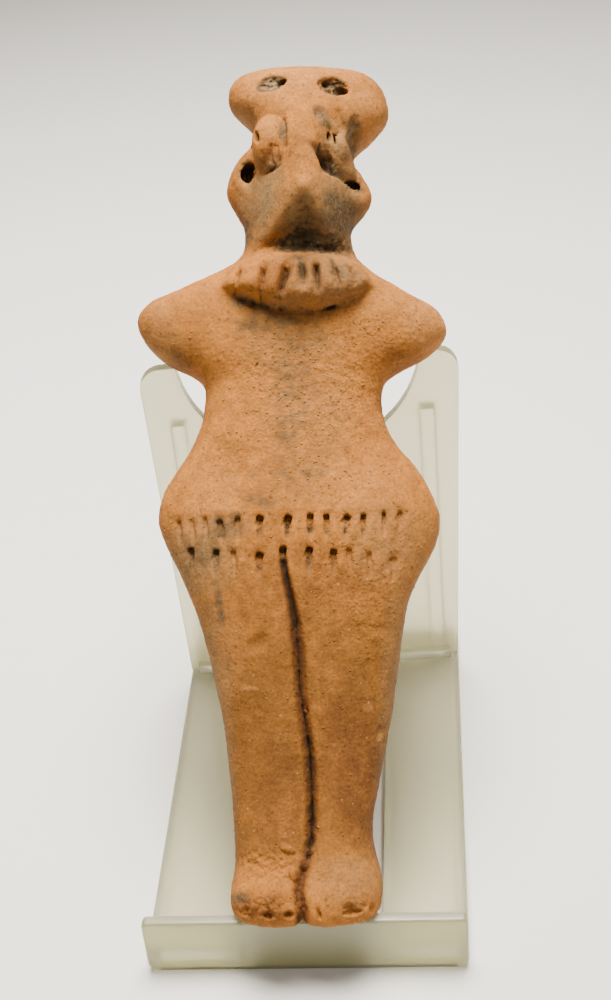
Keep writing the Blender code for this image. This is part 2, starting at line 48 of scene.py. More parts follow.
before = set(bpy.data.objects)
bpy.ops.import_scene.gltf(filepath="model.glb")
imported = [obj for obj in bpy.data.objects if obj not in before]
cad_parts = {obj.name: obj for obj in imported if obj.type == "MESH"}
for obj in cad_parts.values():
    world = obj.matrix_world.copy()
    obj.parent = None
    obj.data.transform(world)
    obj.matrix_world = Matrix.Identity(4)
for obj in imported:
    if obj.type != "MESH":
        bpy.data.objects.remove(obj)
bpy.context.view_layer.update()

MM = 0.001

# Points of a solid nearer than this are one, and how far a piece keeps inside its solid's box
WELD = 0.001 * MM
BOX_MARGIN = 0.01 * MM

# How the figure stands: skew and lean on the easel, tilt to the side, its reach in its own frame
SKEW = math.radians(3.5)
LEAN = math.radians(43.6)
TILT = math.radians(2.0)
LEFT_REACH = 26.2
TOP_HEIGHT = 141.4

# The camera, from the middle of the lip's bottom edge
CAMERA_PLACE = Vector((0.0253, -0.1793, 0.2130))
CAMERA_PITCH = math.radians(34.28)
CAMERA_YAW = math.radians(-5.95)
CAMERA_ROLL = math.radians(-5.39)
FOCAL_PIXELS = 1702.0
PICTURE_HEIGHT = 1000.0
SENSOR = 36.0

# What follows, down to the table of residue and painted shade, is in the figure's own
# millimetres and degrees. A place is (x, s), and half sizes go across and up.

# Strokes pressed into the collar: start, end, half width, depth
STROKES = (
    ((-8.3, 103.8), (-9.4, 100.0), 0.42, 0.9), ((-4.1, 104.4), (-5.1, 98.4), 0.38, 1.1),
    ((0.0, 105.2), (-1.8, 98.6), 0.54, 1.4), ((1.9, 105.2), (2.2, 100.8), 0.42, 1.0),
    ((4.2, 103.6), (4.5, 99.4), 0.44, 1.2), ((7.2, 104.2), (7.9, 99.6), 0.38, 0.9),
    ((9.9, 104.0), (10.8, 100.6), 0.36, 0.7),
)

# The collar, and the pads of clay between its strokes
COLLAR_MIDDLE = (1.0, 102.4)
COLLAR_HALF = (12.0, 5.2)
COLLAR_TURN = -4.0
PAD_HEIGHT = 1.0
PAD_EDGE = 1.1

# How far the collar's lower edge curves up towards its ends: x, rise
COLLAR_CURVE = (
    (-14.5, 0.0), (-12.0, 1.3), (-9.0, 1.7), (-6.5, 1.5), (-2.0, 0.5), (1.5, 0.0), (6.0, 1.1),
    (9.0, 1.7), (12.5, 2.0), (15.5, 0.0),
)

# Marks punched with a square-ended stick: x, s, strength, turn, width
PUNCHES = (
    (-19.3, 62.7, 0.45, 10, 0.8), (-17.1, 62.6, 0.1, 0, 0.7), (-14.9, 62.9, 0.3, 0, 0.7),
    (-12.4, 62.2, 0.7, 18, 1.0), (-9.7, 62.5, 0.5, -15, 0.8), (-6.1, 62.6, 0.95, -22, 1.1),
    (-1.6, 62.5, 1.2, -24, 1.25), (2.0, 62.6, 1.0, -8, 1.1), (4.6, 62.4, 0.9, 5, 1.0),
    (7.7, 62.3, 0.9, -40, 1.2), (10.4, 62.3, 0.8, -8, 0.9), (13.7, 62.7, 0.6, 0, 0.6),
    (16.2, 62.8, 0.5, -25, 0.9),
    (-17.4, 58.1, 0.9, 0, 1.1), (-13.3, 57.5, 0.8, -20, 1.0), (-10.4, 57.2, 0.4, 0, 0.8),
    (-6.3, 56.7, 0.95, -20, 1.2), (-2.5, 57.5, 1.1, -12, 1.05), (1.6, 57.3, 0.95, -25, 1.1),
    (5.5, 56.8, 0.9, -15, 1.15), (8.0, 56.9, 0.4, 0, 0.9), (11.2, 56.2, 0.35, 0, 0.8),
    (14.9, 55.5, 0.4, -30, 1.2),
)

# A punch of strength and width 1: its depth, half width, the length of its steep upper half, and
# how many times as far the lower half runs out
PUNCH_DEPTH = 1.1
PUNCH_HALF = 0.44
PUNCH_RISE = 0.75
PUNCH_RUN_OUT = 1.8

# Line of the cut between the legs
GROOVE = (
    (-1.0, -2.0), (-1.0, 1.2), (-1.4, 5.1), (0.6, 12.6), (0.9, 18.3), (0.7, 25.0), (-0.3, 34.8),
    (-0.5, 42.0), (-0.8, 46.0), (-1.3, 49.0), (-1.8, 51.6), (-2.2, 54.0), (-2.5, 55.9),
)

# How deep that cut is, half its width and its residue and painted shade, each as (s, value)
GROOVE_DEPTH = (
    (-1.0, 0.9), (2.0, 1.0), (7.0, 0.9), (10.0, 1.0), (14.0, 2.2), (40.0, 2.0), (52.0, 1.5),
    (57.0, 0.8),
)
GROOVE_HALF = ((-1.0, 0.75), (7.0, 0.7), (11.0, 0.60), (30.0, 0.66), (50.0, 0.62), (57.0, 0.45))
GROOVE_RESIDUE_AND_SHADE = ((-1.0, 0.3), (8.0, 0.4), (12.0, 1.2), (30.0, 1.0), (56.0, 0.8))

# Half widths of the residue and painted shade in the cut and of the browner clay on its banks
GROOVE_RESIDUE_AND_SHADE_HALF = 0.52
GROOVE_BROWN_HALF = 0.85

# The solid's own cut there: how far from the line, how high and how far back its walls reach, and
# where on each side its banks are measured
SOLID_CUT_HALF = 1.5
SOLID_CUT_REACH = (-1.0, 56.3)
SOLID_CUT_BACK = 7.0
BANKS = (-2.0, 2.0)

# Its points below and behind these, where it opens through the sole, are drawn to the sole
SOLE_REACH = 1.8
SOLE_DEPTH = 12.0
SOLE_LEVEL = -0.3

# Between which n the front begins: for the solid's cuts, for the relief, for the colours and,
# further forward, for the collar
FRONT_OF_CUTS = (3.0, 6.0)
FRONT_OF_RELIEF = (4.0, 8.0)
FRONT_OF_COLOUR = (3.0, 7.0)
FRONT_OF_COLLAR = (10.0, 12.0)

# Where the mesh's step is halved, along the cut between the legs and in these places: (x, s), half
# sizes
FINE_ALONG_GROOVE = 1.6
FINE_PLACES = (
    ((-3.0, 124.0), (6.0, 7.5)),
    ((8.4, 124.0), (5.0, 8.5)),
    (COLLAR_MIDDLE, (13.0, 7.0)),
    ((-1.6, 59.6), (21.0, 5.2)),
    ((-1.0, 3.0), (13.0, 9.0)),
    ((2.6, 136.8), (9.0, 3.2)),
)

# Forms pressed, pinched or laid on by hand: name, (x, s), half sizes, height, turn, edge.
# An edge of 0.5 is crisp like a pellet's, 2 is soft.
FORMS = (
    ("bridge of the nose", (2.6, 124.6), (3.0, 10.4), 0.7, 4.0, 1.0),
    ("under the beak", (2.0, 110.8), (3.4, 3.0), -1.3, 0.0, 1.0),
    ("left eye pellet", (-3.0, 126.0), (2.8, 4.9), 0.8, -5.0, 0.5),
    ("crease under the left pellet", (-2.9, 121.0), (2.0, 0.6), -0.4, 4.0, 1.0),
    ("eye hole", (-4.8, 126.6), (0.5, 1.2), -1.1, 10.0, 0.9),
    ("left ear hole", (-7.0, 122.4), (1.1, 1.7), -1.3, -24.0, 0.9),
    ("right eye pellet", (8.1, 125.2), (2.1, 5.9), 1.1, 26.0, 0.7),
    ("slot of the right eye", (7.6, 126.1), (0.5, 1.3), -1.1, 14.0, 0.8),
    ("inner slot of the right eye", (6.5, 126.4), (0.45, 1.1), -0.8, 6.0, 0.8),
    ("slot beside the nose", (5.6, 124.2), (0.35, 0.9), -0.7, 6.0, 0.8),
    ("dip right of the brow", (5.3, 130.6), (0.9, 1.6), -0.5, 10.0, 1.0),
    ("notch under the crown", (10.8, 128.0), (1.1, 3.4), -0.6, -14.0, 1.5),
    ("right ear", (11.9, 116.4), (2.6, 2.8), 0.5, 0.0, 1.5),
    ("right ear hole", (10.7, 119.2), (1.1, 1.0), -1.4, 0.0, 0.7),
    ("left ear's rim", (-8.6, 121.4), (1.0, 3.0), 0.3, 10.0, 1.5),
    ("left pit's deep end", (-0.8, 137.2), (1.0, 0.6), -0.7, 20.0, 0.8),
    ("right pit's deep end", (9.0, 135.2), (1.4, 0.9), -1.0, -20.0, 0.8),
    ("hole in the right pit", (6.6, 136.6), (0.8, 0.6), -0.5, 0.0, 0.8),
    ("gap under the collar", (6.2, 97.3), (2.0, 0.35), -0.5, 14.0, 0.9),
    ("thumb mark on the left leg", (-6.8, 43.1), (2.6, 1.7), -0.45, 30.0, 1.5),
    ("nick in the right leg", (12.0, 28.7), (0.7, 1.3), -0.35, -20.0, 1.0),
    ("crumb over the left foot", (-3.0, 11.2), (1.3, 0.6), 0.5, -20.0, 0.8),
    ("crumb beside the groove", (-2.2, 7.6), (0.7, 1.2), 0.7, 20.0, 0.7),
    ("crumb between the feet", (-0.4, 9.2), (0.8, 1.0), 0.8, 0.0, 0.7),
    ("crumb at the groove's end", (0.4, 11.0), (0.7, 0.7), 0.7, 0.0, 0.7),
    ("big toe mark", (6.8, 1.6), (1.6, 0.6), -0.8, 6.0, 0.7),
    ("small toe mark", (9.8, 2.0), (0.5, 0.9), -0.5, 0.0, 0.8),
    ("inner toe mark", (1.6, 1.4), (0.4, 0.9), -0.6, 16.0, 0.8),
    ("left big toe", (-3.0, 1.8), (1.5, 1.5), 0.5, 0.0, 0.5),
    ("left big toe ring", (-3.0, 1.6), (0.8, 0.7), -0.9, 0.0, 0.8),
    ("left middle toe mark", (-6.2, 1.6), (0.6, 0.8), -0.4, 0.0, 0.8),
    ("left small toe mark", (-9.9, 1.8), (1.0, 0.6), -0.4, -20.0, 0.8),
)

# Lines pinched up or scored in: start, end, height, half width
LINES = (
    ((2.6, 116.0), (-3.4, 109.8), 0.35, 1.1),
    ((2.6, 116.0), (6.6, 109.0), 0.35, 1.1),
    ((-0.5, 129.0), (-0.3, 124.4), -0.3, 0.5),
    ((-0.3, 124.4), (-1.4, 121.6), -0.25, 0.5),
    ((8.6, 131.0), (11.2, 121.6), -0.35, 0.5),
    ((4.8, 123.6), (6.9, 120.7), -0.8, 0.9),
    ((6.9, 120.7), (9.6, 119.7), -0.8, 0.8),
    ((-2.6, 124.8), (-2.3, 121.8), -0.35, 0.28),
    ((-4.0, 124.0), (-3.6, 121.8), -0.25, 0.28),
    ((-1.3, 124.4), (-1.6, 122.2), -0.3, 0.28),
    ((-9.0, 99.6), (-6.5, 98.6), -0.4, 0.5),
    ((-6.5, 98.6), (-2.0, 97.2), -0.45, 0.5),
    ((-2.0, 97.2), (3.0, 96.8), -0.4, 0.5),
    ((-21.0, 64.3), (18.0, 64.3), 0.06, 0.7),
)

# Where the real clay's cuts are narrower or shallower: (x, s), half sizes, share of the solid's
# cut that is filled
FILLS = (
    ((-2.2, 137.2), (3.4, 2.4), 0.6),
    ((7.8, 136.1), (3.6, 2.6), 0.45),
    ((7.4, 124.6), (4.6, 8.0), 1.0),
    ((-6.9, 122.3), (2.4, 3.0), 1.0),
    ((-1.4, 121.6), (3.2, 3.0), 1.0),
    ((2.4, 116.6), (5.0, 5.0), 1.0),
    ((1.0, 99.6), (15.0, 3.6), 0.6),
    ((-11.8, 100.4), (2.8, 3.4), 0.95),
    ((10.7, 119.3), (2.2, 2.2), 0.95),
)
FILL_EDGE = 0.5

# How much of a punch in the solid is kept, and the half sizes of the place that is filled instead
PUNCH_KEPT = 0.15
PUNCH_FILLED = (1.5, 2.0)

# Ragged, crumbling clay: (x, s), half sizes, strength, turn, edge
CRUMBS = (
    ((-6.0, 9.2), (6.5, 2.4), 1.0, -12.0, 1.0),
    ((-0.6, 6.5), (2.2, 6.0), 0.5, 0.0, 1.0),
    ((-2.3, 137.2), (2.8, 1.8), 1.0, 0.0, 0.8),
    ((7.8, 136.0), (3.0, 2.0), 1.0, 0.0, 0.8),
    ((4.0, 108.4), (8.0, 2.2), 1.0, 0.0, 0.8),
    ((-7.0, 2.4), (5.5, 2.4), 1.0, 0.0, 0.8),
    ((6.9, 121.6), (1.6, 3.4), 1.0, 0.0, 0.8),
    ((-6.9, 122.3), (2.0, 2.6), 1.0, 0.0, 0.8),
    ((10.7, 119.3), (2.0, 2.0), 1.0, 0.0, 0.8),
    ((9.0, 102.6), (4.5, 3.0), 0.5, 0.0, 0.8),
)
CRUMB_HEIGHT = 0.36

# How much sand stands out: everywhere, on the chest as well, and in other worn places. The places
# are given as those of CRUMBS are.
SAND_LEAST = 0.16
SANDY_CHEST = ((6.0, 88.0), (17.0, 15.0), 0.84, 0.0, 0.5)
SANDY_PLACES = (
    ((9.0, 50.0), (9.0, 12.0), 0.7, 0.0, 0.6),
    ((0.0, 73.0), (20.0, 9.0), 0.6, 0.0, 0.8),
)

# Noise of the hand-worked surface: distance between swells, octaves, seed
BROAD_SWELLS = (11.0, 2, 1)
MIDDLE_SWELLS = (4.5, 2, 2)
SKIN_SWELLS = (1.1, 2, 3)
RAGGED_SWELLS = (0.8, 3, 4)

# Washes of colour in the clay: (x, s), half sizes, strength, turn
WASHES = {
    "dull": (
        ((-4.6, 116.5), (5.5, 8.5), 0.9, 0.0), ((0.0, 92.0), (10.0, 9.0), 0.35, 0.0),
        ((2.0, 80.0), (9.0, 14.0), 0.25, 0.0), ((-17.0, 57.0), (9.0, 8.0), 0.7, 0.0),
        ((15.0, 58.0), (9.0, 8.0), 0.4, 0.0), ((6.0, 101.5), (8.0, 6.0), 0.4, -4.0),
        ((8.0, 113.0), (6.0, 9.0), 0.9, 0.0), ((-23.0, 92.0), (6.0, 5.0), 0.5, 0.0),
        ((9.0, 124.0), (5.0, 7.0), 0.7, 0.0), ((-9.0, 131.5), (5.0, 4.5), 0.6, 0.0),
        ((-14.0, 34.0), (3.0, 26.0), 0.5, 4.0), ((14.5, 36.0), (3.0, 28.0), 0.45, -6.0),
        ((2.6, 112.0), (5.5, 5.5), 1.0, 0.0), ((6.0, 6.0), (6.5, 5.0), 0.35, 0.0),
    ),
    "brown": (
        ((2.4, 124.0), (2.6, 7.0), 0.35, 0.0), ((8.0, 24.0), (6.5, 16.0), 0.65, 4.0),
        ((-4.0, 20.0), (5.0, 12.0), 0.4, 0.0), ((-7.0, 2.6), (6.5, 3.0), 0.6, 0.0),
        ((0.0, 54.0), (14.0, 6.0), 0.35, 0.0), ((17.0, 89.4), (7.0, 3.0), 0.4, -30.0),
        ((-19.0, 90.0), (7.0, 3.0), 0.5, 30.0), ((4.0, 101.8), (13.0, 5.0), 0.75, 0.0),
        ((-2.6, 122.6), (2.4, 2.4), 0.9, 0.0), ((6.5, 5.0), (6.0, 5.0), 0.3, 0.0),
    ),
    "pale": (
        ((1.0, 138.0), (14.0, 5.5), 0.9, 0.0), ((-3.0, 128.0), (3.0, 3.0), 0.7, 0.0),
        ((22.0, 95.0), (5.0, 5.0), 1.6, 0.0), ((13.0, 98.0), (9.0, 5.0), 0.4, 0.0),
        ((-22.0, 97.5), (4.5, 4.0), 0.6, 0.0), ((10.0, 66.0), (9.0, 7.0), 0.5, 0.0),
        ((-13.0, 67.0), (6.0, 6.0), 0.5, 0.0), ((-12.0, 42.0), (4.0, 9.0), 0.4, 0.0),
        ((13.0, 132.0), (5.0, 4.5), 0.8, 0.0), ((-8.5, 36.3), (2.6, 0.26), 1.2, -2.0),
        ((10.2, 32.7), (0.9, 0.7), 1.2, 0.0), ((12.0, 28.4), (0.4, 1.0), 1.5, -20.0),
    ),
}

# Grey soil: (x, s), half sizes, strength, turn
STAINS = (
    ((-2.4, 137.1), (3.0, 1.9), 1.6, 16.0),
    ((-3.8, 136.4), (1.8, 1.2), 1.3, 20.0),
    ((7.8, 136.1), (3.1, 2.0), 1.25, -10.0),
    ((10.8, 128.0), (1.9, 4.8), 0.85, -14.0),
    ((-0.3, 127.2), (1.0, 3.2), 1.0, 0.0),
    ((5.8, 129.8), (1.7, 3.4), 0.95, 16.0),
    ((6.7, 121.5), (1.8, 5.0), 1.0, 46.0),
    ((8.4, 112.8), (4.0, 7.0), 0.95, -8.0),
    ((4.0, 108.4), (8.5, 2.4), 1.3, 2.0),
    ((-7.4, 112.0), (1.4, 4.5), 0.8, 0.0),
    ((-7.8, 98.8), (4.5, 1.4), 0.9, -20.0),
    ((-3.0, 96.2), (8.5, 3.4), 0.62, -4.0),
    ((-6.0, 95.0), (6.0, 2.6), 0.6, -10.0),
    ((0.0, 92.6), (8.0, 5.0), 0.42, 0.0),
    ((0.0, 85.0), (6.0, 8.0), 0.50, 0.0),
    ((-0.7, 79.1), (4.0, 3.0), 0.56, 0.0),
    ((-1.5, 75.9), (3.5, 2.0), 0.60, 0.0),
    ((1.5, 70.0), (2.4, 1.6), 0.66, 0.0),
    ((-1.0, 69.0), (9.0, 6.0), 0.46, 0.0),
    ((-6.0, 65.8), (4.0, 2.2), 0.72, 0.0),
    ((-11.5, 62.0), (6.0, 3.4), 0.74, 0.0),
    ((-15.0, 57.6), (5.0, 2.6), 0.70, 0.0),
    ((-12.8, 49.4), (1.1, 6.0), 0.80, 8.0),
    ((-11.6, 40.0), (1.0, 4.0), 0.45, 8.0),
    ((-10.4, 4.0), (2.2, 1.4), 0.85, 0.0),
    ((9.0, 103.0), (4.5, 4.0), 0.52, 0.0),
    ((1.9, 103.4), (0.9, 3.4), 1.0, 0.0),
    ((-7.5, 122.8), (1.9, 2.7), 0.8, -24.0),
    ((10.9, 119.0), (2.2, 1.9), 0.95, 0.0),
    ((2.0, 105.6), (6.0, 1.2), 0.7, 2.0),
    ((7.0, 104.0), (0.9, 2.6), 0.8, 10.0),
)

# Brown residue and painted shade in the recesses: (x, s), half sizes, strength, turn
RESIDUE_AND_PAINTED_SHADE = (
    ((2.6, 111.6), (2.8, 4.8), 0.62, 0.0),
    ((1.4, 109.4), (5.8, 2.8), 0.6, 0.0),
    ((2.0, 107.9), (7.0, 1.4), 0.9, 2.0),
    ((-2.9, 121.0), (2.0, 0.6), 0.7, 4.0),
    ((7.0, 121.1), (1.1, 3.4), 0.85, 48.0),
    ((6.9, 120.5), (1.7, 1.5), 1.05, 30.0),
    ((-7.0, 122.4), (1.3, 2.0), 0.85, -24.0),
    ((10.7, 119.2), (1.1, 1.0), 0.9, 0.0),
    ((-4.8, 126.6), (0.55, 1.2), 0.7, 10.0),
    ((7.6, 126.1), (0.45, 1.3), 0.8, 14.0),
    ((6.5, 126.4), (0.4, 1.1), 0.7, 6.0),
    ((5.6, 124.2), (0.4, 1.0), 0.8, 6.0),
    ((9.6, 129.0), (0.5, 3.4), 0.55, 24.0),
    ((-0.8, 137.2), (1.2, 0.7), 0.8, 20.0),
    ((9.2, 135.2), (1.5, 1.0), 0.9, -20.0),
    ((6.6, 136.6), (0.9, 0.6), 0.7, 0.0),
    ((-6.6, 98.7), (4.6, 0.7), 0.55, -20.0),
    ((-0.5, 97.1), (5.0, 0.6), 0.48, -4.0),
    ((6.2, 97.3), (2.1, 0.45), 0.85, 14.0),
    ((6.8, 1.6), (1.5, 0.6), 0.6, 6.0),
    ((-3.0, 1.6), (0.7, 0.6), 0.4, 0.0),
    ((1.6, 1.4), (0.4, 0.8), 0.7, 16.0),
    ((-8.0, 9.4), (4.0, 0.7), 0.5, -8.0),
)

# Rounds of smoothing that give the level a hollow is measured from
HOLLOW_ROUNDS = 40

# The solid has detail of its own where it stands this far off its smooth form, from none to all,
# evened out by this many rounds
DETAIL_OFFSET = (0.03 * MM, 0.08 * MM)
DETAIL_ROUNDS = 12

# The easel's mouldings: faces that turn by less than the first are one, edges that turn by more
# than the second are rounded, and those that turn by more than the third are shaded sharp
FLAT_WITHIN = math.radians(1.0)
ROUNDED_FROM = math.radians(28.0)
SHARP_FROM = math.radians(24.0)

# Nearly all the values of a noise texture lie between these
NOISE_SPAN = {"From Min": 0.3, "From Max": 0.7}

# Both lamps point here, and their light is kept to this angle
LAMP_AIM = Vector((-0.03, 0.05, 0.04))
LAMP_SPREAD = math.radians(62)


def linear(code):
    """Linear RGB of an sRGB hex colour."""
    parts = [int(code[i:i + 2], 16) / 255 for i in (1, 3, 5)]
    return tuple(c / 12.92 if c <= 0.04045 else ((c + 0.055) / 1.055) ** 2.4 for c in parts)


def add(tree, kind, inputs=None, **settings):
    """Add a node with its settings, then give its sockets values or links."""
    made = tree.nodes.new(kind)
    for name, value in settings.items():
        setattr(made, name, value)
    for name, value in (inputs or {}).items():
        if isinstance(value, bpy.types.NodeSocket):
            tree.links.new(value, made.inputs[name])
        else:
            made.inputs[name].default_value = value
    return made


def figure_place():
    """Matrix from the figure's own frame, with n towards -Y, to the world, in metres."""
    turn = Matrix.Rotation(SKEW, 4, "Z") @ Matrix.Rotation(-LEAN, 4, "X")
    turn = turn @ Matrix.Rotation(TILT, 4, "Y")
    back = turn.inverted()
    points = [back @ v.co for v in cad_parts["statuette"].data.vertices]
    low = min(p.x for p in points) + LEFT_REACH * MM
    rear = max(p.y for p in points)
    top = max(p.z for p in points) - TOP_HEIGHT * MM
    return turn @ Matrix.Translation((low, rear, top))


PLACE = figure_place()


class ClaySettings(bpy.types.PropertyGroup):
    """Sizes and colours of the fired clay figure."""

    mesh_step: bpy.props.FloatProperty(
        name="Mesh step", description="Distance between points of the surface",
        default=0.27 * MM, min=0.2 * MM, unit="LENGTH", precision=5,
    )
    triangles: bpy.props.IntProperty(
        name="Triangles", description="How many triangles the finished figure has", default=190000,
    )
    facet_rounds: bpy.props.IntProperty(
        name="Smoothing", description="Rounds that take the solid's facets away", default=70, min=0,
    )
    unevenness: bpy.props.FloatProperty(
        name="Unevenness", description="Height of the hand-modelled swells", default=0.20 * MM,
        unit="LENGTH", precision=5,
    )
    chest: bpy.props.FloatVectorProperty(
        name="Chest", description="Clay where the fire left it orange",
        subtype="COLOR", size=3, default=linear("#9e6224"),
    )
    legs: bpy.props.FloatVectorProperty(
        name="Legs", description="Browner clay of the legs",
        subtype="COLOR", size=3, default=linear("#764916"),
    )
    blush: bpy.props.FloatVectorProperty(
        name="Blush", description="Paler pink clay of the headdress and feet",
        subtype="COLOR", size=3, default=linear("#a96e34"),
    )
    soil: bpy.props.FloatVectorProperty(
        name="Soil", description="Grey burial soil left in the hollows",
        subtype="COLOR", size=3, default=linear("#635136"),
    )
    # Also the colour of the painted shade in the cuts, holes and recesses
    dark: bpy.props.FloatVectorProperty(
        name="Dark", description="Brown residue deep in the cuts",
        subtype="COLOR", size=3, default=linear("#2a1d08"),
    )
    dull: bpy.props.FloatVectorProperty(
        name="Dull", description="Clay greyed by ground-in dust",
        subtype="COLOR", size=3, default=linear("#80613a"),
    )
    brown: bpy.props.FloatVectorProperty(
        name="Brown", description="Clay fired or handled darker",
        subtype="COLOR", size=3, default=linear("#5a3312"),
    )
    grit: bpy.props.FloatProperty(
        name="Grit", description="Sand grains in a square metre of the coarse places",
        default=6.5e5, min=0.0,
    )
    grain: bpy.props.FloatProperty(
        name="Grain", description="Radius of a sand grain", default=0.22 * MM,
        unit="LENGTH", precision=5,
    )
    seed: bpy.props.IntProperty(
        name="Seed", description="Which scatter of grains is used", default=7,
    )


class EaselSettings(bpy.types.PropertyGroup):
    """Finish of the display easel."""

    tint: bpy.props.FloatVectorProperty(
        name="Tint", description="Faint yellow-green of the plastic",
        subtype="COLOR", size=3, default=linear("#f6f2d6"),
    )
    # Also laid in part on the back rest's broad faces as painted shade
    edge_tint: bpy.props.FloatVectorProperty(
        name="Edge tint", description="Stronger yellow-green gathered along the edges",
        subtype="COLOR", size=3, default=linear("#d4d1a2"),
    )
    edge_round: bpy.props.FloatProperty(
        name="Edge rounding", description="Width of the rounding along the solid's broken edges",
        default=0.12 * MM, unit="LENGTH", precision=5,
    )
    frosting: bpy.props.FloatProperty(
        name="Frosting", description="Roughness of the frosted surface", default=0.36,
        min=0.0, max=1.0, subtype="FACTOR",
    )


class StageSettings(bpy.types.PropertyGroup):
    """Floor and lights."""

    floor_size: bpy.props.FloatProperty(
        name="Floor", description="Width of the floor", default=5.0, unit="LENGTH",
    )
    floor: bpy.props.FloatVectorProperty(
        name="Floor colour", description="Pale matt floor", subtype="COLOR", size=3,
        default=linear("#e1ded8"),
    )
    sky: bpy.props.FloatProperty(
        name="Sky", description="Strength of the even light", default=0.15,
    )
    lamp: bpy.props.FloatProperty(
        name="Lamp", description="Power of the soft lamp", default=4.5, unit="POWER",
    )


def neighbour_mean(values, edges, valence):
    """Mean of each point's neighbours along the edges."""
    total = np.empty_like(values)
    count = len(values)
    for axis in range(values.shape[1]):
        column = values[:, axis]
        total[:, axis] = np.bincount(edges[:, 0], column[edges[:, 1]], count)
        total[:, axis] += np.bincount(edges[:, 1], column[edges[:, 0]], count)
    return total / valence[:, None]


def smoothed(values, edges, rounds):
    """Values evened out along the surface."""
    valence = np.maximum(np.bincount(edges.ravel(), minlength=len(values)), 1)
    for _ in range(rounds):
        values = 0.5 * values + 0.5 * neighbour_mean(values, edges, valence)
    return values


def eased(values, low, high):
    """Smooth step from 0 at low to 1 at high."""
    share = np.clip((values - low) / (high - low), 0.0, 1.0)
    return share * share * (3 - 2 * share)


def without_facets(points, edges, rounds, kept, filled):
    """The surface without the solid's facets, kept as it is where it has detail of its own."""
    once = smoothed(points, edges, rounds)
    plain = once + smoothed(points - once, edges, rounds)
    crisp = smoothed(points, edges, 1)
    light = smoothed(crisp, edges, 3)
    light += kept[:, None] * (crisp - light)
    offset = np.linalg.norm(points - plain, axis=1)[:, None]
    detail = eased(smoothed(offset, edges, DETAIL_ROUNDS), *DETAIL_OFFSET)
    shown = plain + detail * (1.0 - filled[:, None]) * (light - plain)
    return shown + filled[:, None] * (once - plain)


def own_places(points):
    """The x, s and n of points, in millimetres."""
    own = points / MM
    return own[:, 0], own[:, 2], -own[:, 1]


def read_points(mesh):
    """Positions and edges of a mesh as arrays."""
    points = np.empty(len(mesh.vertices) * 3, np.float32)
    mesh.vertices.foreach_get("co", points)
    edges = np.empty(len(mesh.edges) * 2, np.int32)
    mesh.edges.foreach_get("vertices", edges)
    return points.reshape(-1, 3).astype(float), edges.reshape(-1, 2)


def write_points(mesh, points):
    """Set a mesh's positions."""
    mesh.vertices.foreach_set("co", points.astype(np.float32).ravel())
    mesh.update()


def read_normals(mesh):
    """Point normals of a mesh as an array."""
    normals = np.empty(len(mesh.vertices) * 3, np.float32)
    mesh.vertex_normals.foreach_get("vector", normals)
    return normals.reshape(-1, 3).astype(float)


def write_attribute(mesh, name, values):
    """Store one number for each point of a mesh."""
    made = mesh.attributes.new(name, "FLOAT", "POINT")
    made.data.foreach_set("value", values.astype(np.float32))


def swell(points, size, octaves, seed):
    """Smooth noise, about -1 to 1, whose swells are size millimetres apart."""
    shift = Vector((17.3, 5.1, 9.7)) * seed
    return np.array([noise.fractal(Vector(p) / size + shift, 0.9, 2.1, octaves) for p in points])


def profile(places, table):
    """Values read off a table of (place, value), straight between its rows."""
    at, values = zip(*table)
    return np.interp(places, at, values)


def spot(x, s, centre, half, turn=0.0, edge=1.0):
    """Bump on the front, 1 in its middle and 0 outside."""
    dx = x - centre[0]
    ds = s - centre[1]
    angle = math.radians(turn)
    u = (dx * math.cos(angle) + ds * math.sin(angle)) / half[0]
    v = (ds * math.cos(angle) - dx * math.sin(angle)) / half[1]
    return np.clip(1.0 - u * u - v * v, 0.0, 1.0) ** edge


def strongest(spots, x, s):
    """The strongest of some spots, each given as (x, s), half sizes, strength, turn and edge."""
    amount = np.zeros(len(x))
    for centre, half, strength, *shape in spots:
        amount = np.maximum(amount, strength * spot(x, s, centre, half, *shape))
    return amount


def wedge(dx, ds, half, rise, turn):
    """Blunt dent, deepest at its upper end and running out below."""
    angle = math.radians(turn)
    u = (dx * math.cos(angle) + ds * math.sin(angle)) / half
    v = (ds * math.cos(angle) - dx * math.sin(angle)) / rise
    v = np.where(v < 0.0, v / PUNCH_RUN_OUT, v)
    return np.exp(-(u ** 4) - v ** 4) * (0.6 + 0.4 * np.clip(v, -1.0, 1.0))


def stroke_distance(x, s, start, end):
    """Distance to a straight stroke."""
    way = np.array(end) - np.array(start)
    share = ((x - start[0]) * way[0] + (s - start[1]) * way[1]) / (way @ way)
    share = np.clip(share, 0.0, 1.0)
    return np.hypot(x - start[0] - share * way[0], s - start[1] - share * way[1])


def collar_relief(x, s):
    """Strokes pressed into the collar and the pads of clay that swell between them."""
    inside = spot(x, s, COLLAR_MIDDLE, COLLAR_HALF, COLLAR_TURN, 0.8)
    relief = np.zeros(len(x))
    nearest = np.full(len(x), np.inf)
    for start, end, half, depth in STROKES:
        away = stroke_distance(x, s, start, end)
        fade = eased(-s, -105.2, -102.4) * eased(s, end[1] - 0.4, end[1] + 1.8)
        relief -= depth * fade * np.exp(-((away / half) ** 2))
        nearest = np.minimum(nearest, away)
    pads = 1.0 - np.exp(-((nearest / PAD_EDGE) ** 2))
    return relief + PAD_HEIGHT * pads * inside


def groove_distance(x, s):
    """Distance to the line of the cut between the legs."""
    away = np.full(len(x), np.inf)
    for start, end in zip(GROOVE, GROOVE[1:]):
        away = np.minimum(away, stroke_distance(x, s, start, end))
    return away


